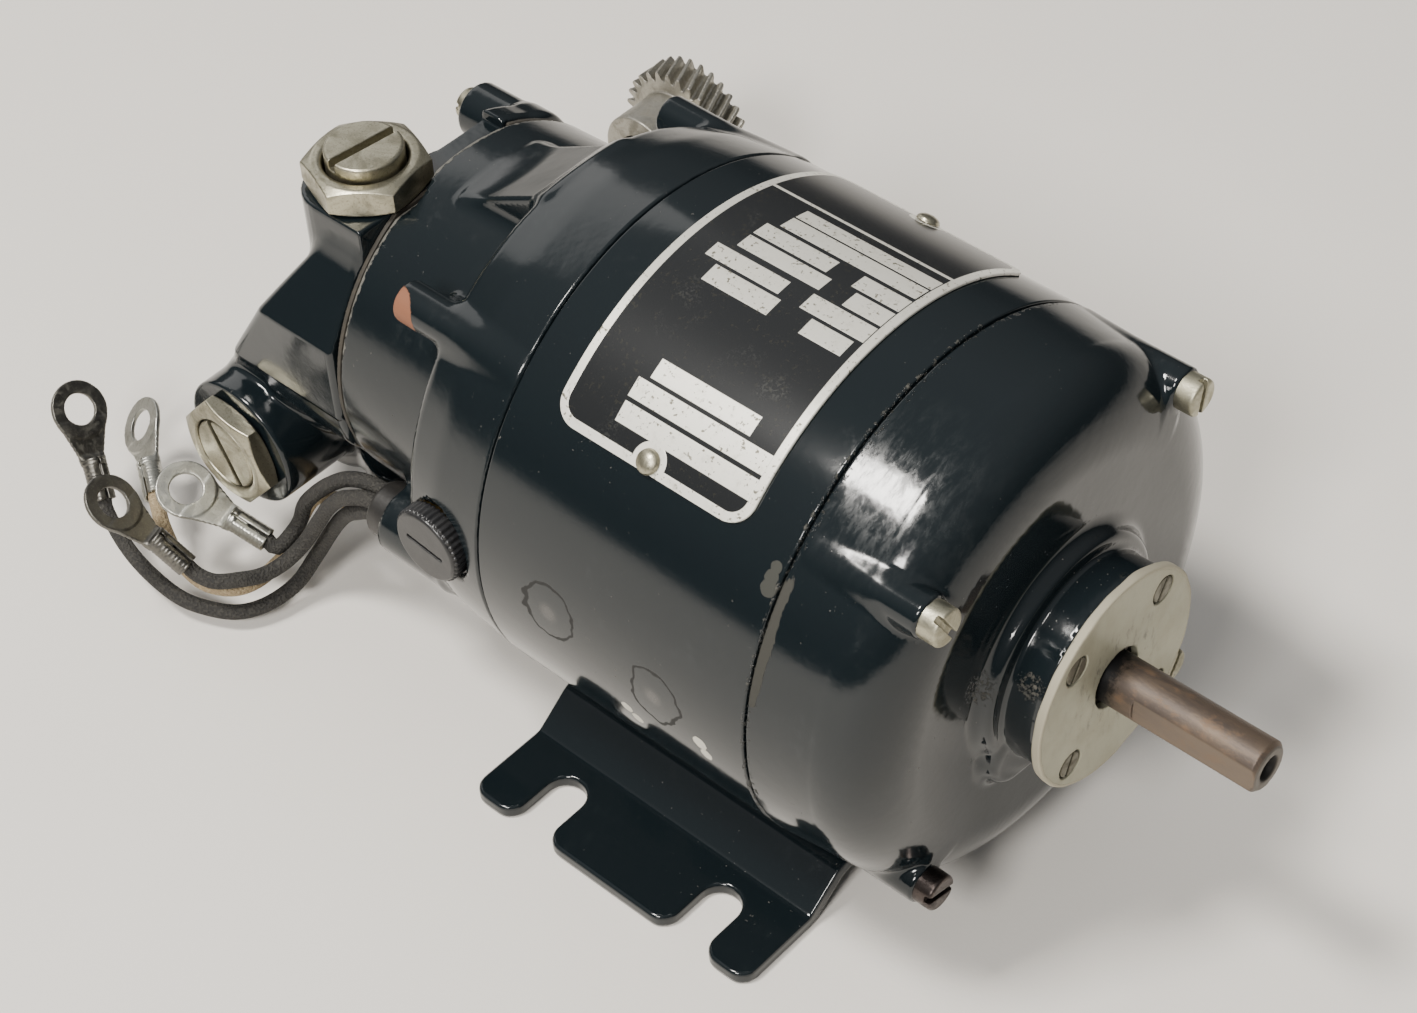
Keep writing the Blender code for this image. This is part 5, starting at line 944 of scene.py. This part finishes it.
def fasteners():
    """Through-bolts, the bearing cap's screws and the housing screws."""
    for number, (angle, slot_angle) in enumerate(zip(BOLT_ANGLES, BOLT_SLOT_ANGLES), 1):
        y, z = polar(BOLT_CIRCLE, angle)
        seat = FRONT_BOSS_END_X + SEAT_GAP
        head = aimed(slotted_head(2.9, 2.7, 1.0, 1.0, slot_angle), "X", (seat, y, z))
        body = joined(0.05, head, rod("X", (0, y, z), 2.085, -23, seat + 0.5, 0.3))
        box = around("X", (0, y, z), 3.3, -24, seat + 3.2)
        finish = PAINTED_BOLT if angle == 225 else BOLT_METAL
        carved(f"bolt_{number}", body, box, 0.25, finish, f"through_bolt_{number}")
    for number, slot_angle in enumerate(CAP_SLOT_ANGLES, 1):
        y, z = polar(CAP_SCREW_CIRCLE, 45 + 90 * (number - 1))
        back, tip = CAP_FACE_X - 0.69, CAP_FACE_X - 6
        head = aimed(slotted_head(2.1, 0.64, 0.55, 0.4, slot_angle, 0.15), "X", (back, y, z))
        body = joined(0.05, head, rod("X", (0, y, z), 1.25, tip, back + 0.2, 0.2))
        body = within(0.02, body, rod("X", (0, y, z), 2.2, tip, CAP_FACE_X, 0.05))
        box = around("X", (0, y, z), 2.6, CAP_FACE_X - 6.6, CAP_FACE_X + 0.4)
        carved(f"cap_screw_{number}", body, box, 0.16, SLOTTED, f"bearing_cap_screw_{number}")
    for number, (angle, lug_end) in enumerate(LUGS, 1):
        y, z = polar(LUG_CIRCLE, angle)
        seat = lug_end - SEAT_GAP
        head = aimed(slotted_head(2.7, 2.2, 0.8, 0.8, 50 * number - 30, 0.7), "-X", (seat, y, z))
        body = joined(0.05, head, rod("X", (0, y, z), 1.6, seat - 0.5, -35.6, 0.3))
        box = around("X", (0, y, z), 3.2, seat - 2.8, -35.0)
        carved(f"lug_screw_{number}", body, box, 0.25, NICKEL, f"housing_screw_{number}")


def bearing_cap():
    """Pale disc on the front hub."""
    disc = rod("X", AXIS, 17.45, HUB_FACE_X + SEAT_GAP, CAP_FACE_X, 0.25)
    holes = [rod("X", AXIS, 4.9, HUB_FACE_X, CAP_FACE_X + 1, 0.0)]
    for index in range(4):
        place = spot(0, CAP_SCREW_CIRCLE, 45 + 90 * index)
        holes.append(rod("X", place, 2.35, CAP_FACE_X - 0.84, CAP_FACE_X + 1, 0.0))
        holes.append(rod("X", place, 1.5, HUB_FACE_X, CAP_FACE_X + 1, 0.0))
    body = wavy(without(0.15, disc, *holes), 0.08, 6, 21)
    box = around("X", AXIS, 18.2, HUB_FACE_X - 0.6, CAP_FACE_X + 0.6)
    carved("bearing_cap", body, box, 0.25, DISC, "front_bearing_cap")


def hexagon_nut(bottom, top, first, bore, dish):
    """A chamfered nut about the origin, along +Z, with its upper face dished round the bore."""
    hexagon = extruded("Z", arc((0, 0), NUT_CORNER, first, first + 300, 5), bottom, top, 0.12)
    crown = [(bottom, 8.6), (bottom + 0.75, 10.2), (top - 1.0, 10.2), (top, 8.2)]
    body = within(0.15, hexagon, turned("Z", mirrored(crown)))
    hollow = turned("Z", mirrored([(top + 1, dish + 1), (top - 0.8, bore - 0.6)]))
    return without(0.2, body, rod("Z", AXIS, bore, bottom - 1, top + 1, 0.0), hollow)


def adjusters():
    """The two end-play adjusters and their jam nuts."""
    x_in, y_in = INTERMEDIATE
    x_out, z_out = OUTPUT
    nut_half, screw_half, bore = 10.7, 6.9, 6.6
    bottom = PEDESTAL_TOP_Z + SEAT_GAP
    top_face = bottom + 4.8
    centre = (x_in, y_in, 0)
    nut = moved(hexagon_nut(bottom, top_face, 41, bore, 7.4), centre)
    box = around("Z", centre, nut_half, PEDESTAL_TOP_Z - 0.3, top_face + 0.6)
    carved("top_nut", nut, box, 0.25, NICKEL, "top_jam_nut")
    face = top_face + 2.0
    back = face - ADJUSTER_LENGTH
    head = moved(slotted_head(6.15, ADJUSTER_LENGTH, 1.5, 1.6, 83), (x_in, y_in, back))
    body = within(0.1, head, rod("Z", centre, 6.3, back, face + 1, 0.2))
    box = around("Z", centre, screw_half, face - 13.6, face + 0.6)
    carved("top_adjuster", body, box, 0.25, NICKEL, "top_adjuster_screw")
    seat = NEAR_BOSS_FACE_Y - SEAT_GAP
    centre = (x_out, seat, z_out)
    nut = aimed(hexagon_nut(0, 3.4, -41, bore, 7.6), "-Y", centre)
    box = around("Y", centre, nut_half, seat - 4.0, seat + 0.6)
    carved("side_nut", nut, box, 0.25, NICKEL, "side_jam_nut")
    face = seat - 3.15
    back = face + ADJUSTER_LENGTH
    head = aimed(slotted_head(6.35, ADJUSTER_LENGTH, 1.3, 1.5, 26), "-Y", (x_out, back, z_out))
    body = within(0.1, head, rod("Y", centre, 6.5, face - 1, back, 0.2))
    box = around("Y", centre, screw_half, face - 0.6, face + 13.6)
    carved("side_adjuster", body, box, 0.25, NICKEL, "side_adjuster_screw")


def knurled_cap():
    """A brush cap about the origin, rising along +Z from its seat."""
    rim = peg(6.2, 0, 2.7, 0.3, 0.3)
    lid = within(0.05, peg(5.95, -5, 3.2, 0, 0.5), rod("Z", AXIS, 9, 2.0, 4.0, 0.0))
    shank = rod("Z", AXIS, 4.3, -5.0, 1.0, 0.2)

    ridges, ridge_height = 40, 0.12

    def ridged(points):
        angle = np.arctan2(points[:, 1], points[:, 0])
        return rim(points) - ridge_height * np.cos(angle * ridges)

    slot = slab((-3.6, -0.32, 2.5), (3.6, 0.32, 4.0), 0.05)
    return without(0.1, joined(0.1, ridged, lid, shank), slot)


def brush_caps():
    """A knurled cap on each side."""
    shape = knurled_cap()
    for way, name, roll in ((-1, "near", -7), (1, "far", 20)):
        turn = np.array(Matrix.Rotation(math.radians(-90 + roll), 3, "Z"))
        seat = (BRUSH_X, way * (BRUSH_SEAT_Y + SEAT_GAP), 0)
        body = aimed(lambda points, turn=turn: shape(points @ turn), "-Y" if way < 0 else "Y", seat)
        ends = sorted((way * (BRUSH_SEAT_Y - 5.3), way * (BRUSH_SEAT_Y + 4.0)))
        box = around("Y", (BRUSH_X, 0, 0), 6.9, *ends)
        carved(f"brush_lid_{name}", body, box, 0.2, BAKELITE, f"brush_cap_{name}")


def nameplate():
    """Blank plate bent to the shell, and its rivets."""
    inner, outer, edge, corner = 43.0, PLATE_RADIUS, 0.12, PLATE_CORNER
    span = PLATE_ARC[1] - PLATE_ARC[0]
    rounding = [corner * (1 - math.cos(math.radians(6 * step))) for step in range(16)]
    count = 120
    middle = [corner + (span - 2 * corner) * step / count for step in range(1, count)]
    points = []
    stations = rounding + middle + [span - distance for distance in reversed(rounding)]
    for station in stations:
        near_edge = min(station, span - station, corner)
        inset = corner - math.sqrt(max(corner**2 - (corner - near_edge) ** 2, 0))
        angle = math.degrees((PLATE_ARC[0] + station) / outer)
        left, right = PLATE_X[0] + inset, PLATE_X[1] - inset
        ring = [(left, inner), (right, inner), (right, outer - edge), (right - edge, outer)]
        ring += [(left + edge, outer), (left, outer - edge)]
        points += [spot(x, radius, angle) for x, radius in ring]
    quads = strips(len(stations), 6)
    end = len(points) - 6
    quads += [(0, 5, 2, 1), (5, 4, 3, 2)]
    quads += [(end + 1, end + 2, end + 5, end), (end + 2, end + 3, end + 4, end + 5)]
    mesh = mesh_of("blank_plate", np.array(points), np.array(quads)[:, ::-1])
    mesh.set_sharp_from_angle(angle=math.radians(35))
    piece("blank_plate", mesh, plate_paint(), "nameplate")
    under, shank_radius, head_radius = 43.55, 0.8, 1.9
    outline = [(42.0, shank_radius), (under, shank_radius), (under, head_radius), (43.9, 1.75)]
    for step in range(25, 91, 5):
        across, up = polar(1, step)
        outline.append((under + 1.1 * up, head_radius * across))
    box = around("Z", AXIS, 2.3, 41.6, 45.2)
    corners, quads, normals = skin(turned("Z", mirrored(outline), 0.05), box, 0.15)
    for number, angle in enumerate(RIVET_ANGLES, 1):
        turn = np.array(Matrix.Rotation(math.radians(angle - 90), 3, "X"))
        places = corners @ turn.T + np.array((RIVET_X, 0, 0))
        mesh = mesh_of(f"rivet_{number}", places, quads, normals @ turn.T)
        piece(f"rivet_{number}", mesh, NICKEL, f"nameplate_rivet_{number}")


def motor_shaft():
    """Motor shaft: plain end with its flat and centre hole, and the worm at the rear."""
    x_mid = INTERMEDIATE[0]
    outline = [(-43.1, 5.0), (72.3, 5.0), (72.3, SHAFT_RADIUS)]
    outline += [(SHAFT_END_X - 0.7, SHAFT_RADIUS), (SHAFT_END_X, SHAFT_RADIUS - 0.7)]
    thread_ends = rod("X", AXIS, 5.2, x_mid - 8.5, x_mid + 8.5, 0.2)
    module, starts = 0.8, 2
    lead = math.pi * module * starts

    def thread(points):
        radius = np.hypot(points[:, 1], points[:, 2])
        angle = np.degrees(np.arctan2(points[:, 2], points[:, 1]))
        away = np.abs((angle - 180 - 360 * (points[:, 0] - x_mid) / lead + 90) % 180 - 90)
        crest, root = (18, 4.9), (43.2, 3.1)
        reach = np.interp(away, *zip(crest, root))
        return np.maximum((radius - reach) * 0.6, thread_ends(points))

    hole = [(SHAFT_END_X + 1, 3.0), (SHAFT_END_X - 0.3, 1.9), (SHAFT_END_X - 1.8, 1.1)]
    flat = slab((86.9, -8, -8), (SHAFT_END_X + 2, -3.37, 8), 0.1)
    body = joined(0.3, turned("X", mirrored(outline)), thread)
    body = without(0.12, body, flat, turned("X", mirrored(hole), 0.06))
    box = around("X", AXIS, 5.5, x_mid - 9, SHAFT_END_X + 0.6)
    carved("long_shaft", body, box, 0.3, shaft_paint(), "motor_shaft")


def output_train():
    """Output shaft with its helical gear."""
    x_out, z_out = OUTPUT
    centre = (x_out, 0, z_out)
    inch, teeth_per_inch, teeth, helix = 25.4, 32, 28, 22
    module = inch / teeth_per_inch
    pitch_radius = module * teeth / 2
    start, end = 70.4, 76.8
    flank = ((0.4, -1.25), (0.3, -0.75), (0.25, 0), (0.12, 1))
    tooth = [(-share, lift) for share, lift in flank] + list(reversed(flank))
    outline = []
    for number in range(teeth):
        middle = (number + 0.5) * 360 / teeth
        for share, lift in tooth:
            outline.append(polar(pitch_radius + lift * module, middle + share * 360 / teeth))
    sweep = math.tan(math.radians(helix)) * (end - start) / pitch_radius
    rim = extruded("Y", outline, start, end, 0.12, 0.06, sweep)
    hub = rod("Y", AXIS, 8.0, start - 9.5, start + 1, 0.4)
    screw = rod("X", (0, start - 5, 0), 1.6, 5, 9, 0.1)
    recess = rod("Y", AXIS, 8.6, end - 0.35, end + 1, 0.1)
    body = without(0.15, joined(0.4, rim, hub), rod("Y", AXIS, 4.22, 50, 80, 0.0), screw, recess)
    box = around("Y", centre, 12.5, start - 10, end + 0.6)
    carved("helical_gear", moved(body, centre), box, 0.28, GEAR_STEEL, "output_gear")
    cross = rod("Y", centre, SHAFT_RADIUS, -23.8, 77.0, 0.5)
    box = around("Y", centre, 4.5, -24.4, 77.6)
    carved("cross_shaft", cross, box, 0.35, GEAR_STEEL, "output_shaft")


def soft_parts():
    """Lead bushing and gasket."""
    centre = spot(0, *LEAD_BUSHING)
    tube = rod("X", centre, 4.6, LEAD_BUSHING_END_X, -14.4, 0.7)
    body = without(0.4, tube, rod("X", centre, 3.4, LEAD_BUSHING_END_X - 1, -13, 0.0))
    box = around("X", centre, 5.2, LEAD_BUSHING_END_X - 0.6, -13.8)
    carved("lead_sleeve", body, box, 0.3, SLEEVE, "lead_bushing")
    back = NECK_END_X - 1.05
    ring = rod("X", AXIS, 30.4, back, back + 0.8, 0.1)
    x_in, y_in = INTERMEDIATE
    cutters = [rod("X", AXIS, 23.7, back - 1, back + 2, 0.0)]
    cutters.append(slab((x_in, y_in - 12.4, PEDESTAL_TOP_Z), (back + 3, NOTCH_FAR_Y, NOTCH_TOP_Z), 0.0))
    for angle, _ in LUGS:
        cutters.append(rod("X", spot(0, LUG_CIRCLE, angle), LUG_HOLE, back - 1, back + 2, 0.0))
    box = around("X", AXIS, 31, back - 0.5, back + 1.3)
    carved("paper_gasket", without(0.08, ring, *cutters), box, 0.25, GASKET, "housing_gasket")


def place_camera():
    """The photograph's camera."""
    azimuth, elevation, roll = 44.384, 45.353, -3.25
    data = bpy.data.cameras.new("photo_camera")
    data.lens = 75.35
    data.sensor_width = 36.0
    camera = bpy.data.objects.new("photo_camera", data)
    matrix = Matrix.Translation(Vector((217.89, -245.27, 360.64)) * MM)
    for axis, degrees in (("Z", azimuth), ("X", 90 - elevation), ("Z", roll)):
        matrix = matrix @ Matrix.Rotation(math.radians(degrees), 4, axis)
    camera.matrix_world = matrix
    bpy.context.scene.collection.objects.link(camera)
    bpy.context.scene.camera = camera


def light(name, place, size, power, colour):
    """An area lamp aimed at the motor, its place and size in metres."""
    data = bpy.data.lights.new(name, "AREA")
    data.shape = "RECTANGLE"
    data.size, data.size_y = size
    data.energy = power
    data.color = colour
    lamp = bpy.data.objects.new(name, data)
    lamp.location = place
    lamp.rotation_euler = (Vector((0, 0, 0.03)) - Vector(place)).to_track_quat("-Z", "Y").to_euler()
    bpy.context.scene.collection.objects.link(lamp)


def surroundings():
    """Pale table, two lamps, a pale wall and a room that is dim near the horizon."""
    half = 6.0
    corners = [(-half, -half, 0), (half, -half, 0), (half, half, 0), (-half, half, 0)]
    mesh = bpy.data.meshes.new("table")
    mesh.from_pydata(corners, [], [(0, 1, 2, 3)])
    table = bpy.data.objects.new("table", mesh)
    bpy.context.scene.collection.objects.link(table)
    paint = Paint("table_paint", (0.82, 0.785, 0.73), 0.6)
    paint.tint((0.78, 0.745, 0.69), paint.blots(60, 0.3, 0.7, top=0.3))
    paint.bump(paint.noise(0.8), 0.02)
    mesh.materials.append(paint.material)
    light("left_lamp", (-0.27, -0.50, 1.27), (0.26, 0.26), 19.0, (1.0, 0.965, 0.91))
    light("right_lamp", (0.33, -0.96, 0.97), (0.30, 0.30), 16.0, (1.0, 0.97, 0.93))
    light("pale_wall", (-1.1, 0.3, 0.75), (0.9, 0.75), 3.0, (1.0, 0.98, 0.95))
    world = bpy.data.worlds.new("room")
    bpy.context.scene.world = world
    world.use_nodes = True
    tree = world.node_tree
    backdrop = tree.nodes["Background"]
    backdrop.inputs["Color"].default_value = (0.98, 0.99, 1.0, 1)
    split = add_node(tree, "SeparateXYZ", {0: add_node(tree, "TexCoord").outputs["Generated"]})
    inputs = {"Value": split.outputs["Z"], "From Min": 0.1, "From Max": 0.8, "To Min": 0.07, "To Max": 0.38}
    put(tree, backdrop.inputs["Strength"], add_node(tree, "MapRange", inputs).outputs["Result"])


LEAD_COVERS = {"rubber": BRAID, "tan_cloth": TAN_BRAID}

# Each lead: its cell in the bushing, its way as far as its terminal, the mouth of the terminal's
# barrel, the way from there to the ring's eye, the direction that the ring faces, its cover, and
# the terminal's finish
LEAD_LAYS = (
    (
        (-1, -1),
        (
            (-41, -32.6, -22), (-47, -31, -28.5), (-52.2, -30, -36), (-55.4, -31.6, -42.5),
            (-56.2, -36, -46.2), (-57.4, -41.7, -47.3), (-60, -46.1, -47.4), (-64.8, -48.9, -47.2),
            (-69.6, -50.4, -46.6), (-76.6, -50.5, -45.6), (-83.2, -49.6, -44.3),
        ),
        (-90.8, -47.1, -40.5),
        (-0.63, 0.36, 0.69),
        (0.78, 0.05, 0.62),
        "rubber",
        DARK_TERMINAL,
    ),
    (
        (1, -1),
        (
            (-41, -29.4, -21.2), (-46.5, -27, -26.8), (-51.5, -25.6, -32), (-57, -24.8, -35.4),
            (-61.8, -25.4, -38), (-62.2, -29.4, -41.6), (-60.9, -32.5, -43.6), (-60.6, -35.8, -44.4),
            (-60.1, -40.9, -44.2), (-61.2, -45.2, -43.3), (-65.3, -47.8, -42.4), (-71.5, -47.3, -41.6),
            (-78.3, -44.7, -40.6),
        ),
        (-83.9, -41.4, -39.5),
        (-0.86, 0.54, 0.15),
        (-0.36, -0.66, 0.66),
        "tan_cloth",
        TERMINAL,
    ),
    (
        (-1, 1),
        (
            (-41, -33.6, -18), (-46.5, -33.2, -23.6), (-51, -32.9, -30.5), (-54.8, -33.9, -37.3),
            (-56.6, -37.2, -40.4), (-57.8, -41.2, -41), (-59.2, -45.1, -39.9), (-61.6, -47.9, -39.6),
        ),
        (-66.3, -49.2, -38.2),
        (-0.69, -0.23, 0.64),
        (0.66, 0.29, 0.70),
        "rubber",
        DARK_TERMINAL,
    ),
    (
        (1, 1),
        ((-42, -30.7, -16.8), (-48.8, -31.1, -22), (-55.4, -31.5, -30), (-57.6, -32.3, -35.8)),
        (-60.9, -36.6, -38.6),
        (-0.87, -0.27, 0.41),
        (0.58, -0.09, 0.84),
        "rubber",
        TERMINAL,
    ),
)


def smooth_path(points, step):
    """A smooth curve through the points, as points about this far apart."""
    path = [Vector(point) for point in points]
    ends = [path[0] * 2 - path[1], *path, path[-1] * 2 - path[-2]]
    curve = [path[0]]
    for before, here, there, after in zip(ends, ends[1:], ends[2:], ends[3:]):
        pieces = max(1, round((there - here).length / step))
        for index in range(1, pieces + 1):
            t = index / pieces
            flat = (there - before) * (t / 2) + (before * 2 - here * 5 + there * 4 - after) * (t * t / 2)
            curve.append(here + flat + (here * 3 - before - there * 3 + after) * (t**3 / 2))
    return curve


def swept(path, radius, sides):
    """Points and quads of a round tube along a path, its ends left open."""
    along = (path[1] - path[0]).normalized()
    across = along.orthogonal().normalized()
    points = []
    for index, point in enumerate(path):
        before = path[max(index - 1, 0)]
        after = path[min(index + 1, len(path) - 1)]
        turned_along = (after - before).normalized()
        across = along.rotation_difference(turned_along) @ across
        along = turned_along
        other = along.cross(across)
        for side in range(sides):
            angle = 2 * math.pi * side / sides
            points.append(point + (across * math.cos(angle) + other * math.sin(angle)) * radius)
    return np.array(points), np.array(strips(len(path), sides))


def terminal_field():
    """A crimped ring terminal: its eye at the origin, -x towards its barrel, +z its face."""
    ring = rod("Z", AXIS, 5.0, -0.8, 0, 0.2)
    tongue = extruded("Z", [(-2.0, -4.4), (-2.0, 4.4), (-9.2, 1.9), (-9.2, -1.9)], -0.75, -0.05, 0.1)
    barrel = rod("X", AXIS, 2.1, -TERMINAL_LENGTH, -8.4, 0.35)
    rib_depth, ribs = 0.04, 9

    def ferrule(points):
        return barrel(points) + rib_depth * np.cos(points[:, 0] * ribs) + rib_depth

    body = joined(0.4, ring, joined(0.9, tongue, ferrule))
    eye = rod("Z", AXIS, 2.75, -2, 2, 0.0)
    beyond = -TERMINAL_LENGTH - 1
    mouth = rod("X", AXIS, 1.45, beyond, -12.0, 0.0)
    seam = slab((beyond, -0.12, 1.4), (-8.8, 0.12, 2.6), 0.05)
    pressed = slab((beyond, -3, 1.75), (-9.8, 3, 3), 0.2)
    return without(0.15, body, eye, mouth, seam, pressed)


def leads():
    """Four leads, each with its terminal."""
    bushing_y, bushing_z = polar(*LEAD_BUSHING)
    corners, quads, normals = skin(terminal_field(), ((-16.6, -5.4, -2.7), (5.4, 5.4, 2.7)), 0.3)
    for number, (cell, way, mouth, toward, facing, cover, finish) in enumerate(LEAD_LAYS, 1):
        y = bushing_y + cell[0] * LEAD_PITCH / 2
        z = bushing_z + cell[1] * LEAD_PITCH / 2
        along = Vector(toward).normalized()
        across = Vector(facing).cross(along).normalized()
        mouth = Vector(mouth)
        exit_point = Vector((LEAD_BUSHING_END_X, y, z))
        points = [(LEAD_BUSHING_END_X + 14, y, z), exit_point, *way]
        points += [mouth - along * 2, mouth, mouth + along * 3.6]
        path = smooth_path(points, 0.9)
        start = min(range(len(path)), key=lambda step: (path[step] - exit_point).length)
        path = path[start:]
        mesh = mesh_of(f"lead_{number}_cover", *swept(path, LEAD_RADIUS, 20))
        lead = piece(f"lead_{number}_cover", mesh, LEAD_COVERS[cover], f"lead_{number}")
        turn = np.array((along, across, along.cross(across)))
        eye = np.array(mouth + along * TERMINAL_LENGTH)
        mesh = mesh_of(f"terminal_{number}", corners @ turn + eye, quads, normals @ turn)
        terminal = piece(f"terminal_{number}", mesh, finish, f"ring_terminal_{number}")


SLOT_FINISHES = {
    "black_enamel": CAST_PAINT,
    "steel": STEEL,
    "nickel": NICKEL,
    "worn_disc": DISC,
    "brass": BRASS,
    "bronze": BRONZE,
    "copper": COPPER,
    "carbon": CARBON,
    "bakelite": BAKELITE,
    "rubber": SLEEVE,
    "gasket_paper": GASKET,
    "tan_cloth": TAN_BRAID,
}


def carried_over():
    """Gives every CAD node that still shows its worn finish."""
    for node in frame["nodes"].values():
        for index, material in enumerate(node.data.materials):
            name = material.name.split(".")[0]
            if name in SLOT_FINISHES:
                node.data.materials[index] = SLOT_FINISHES[name]


place_camera()
surroundings()
carried_over()
leads()
shell()
front_shield()
rear_shield()
gear_housing()
base_plate()
fasteners()
bearing_cap()
adjusters()
brush_caps()
nameplate()
motor_shaft()
output_train()
soft_parts()
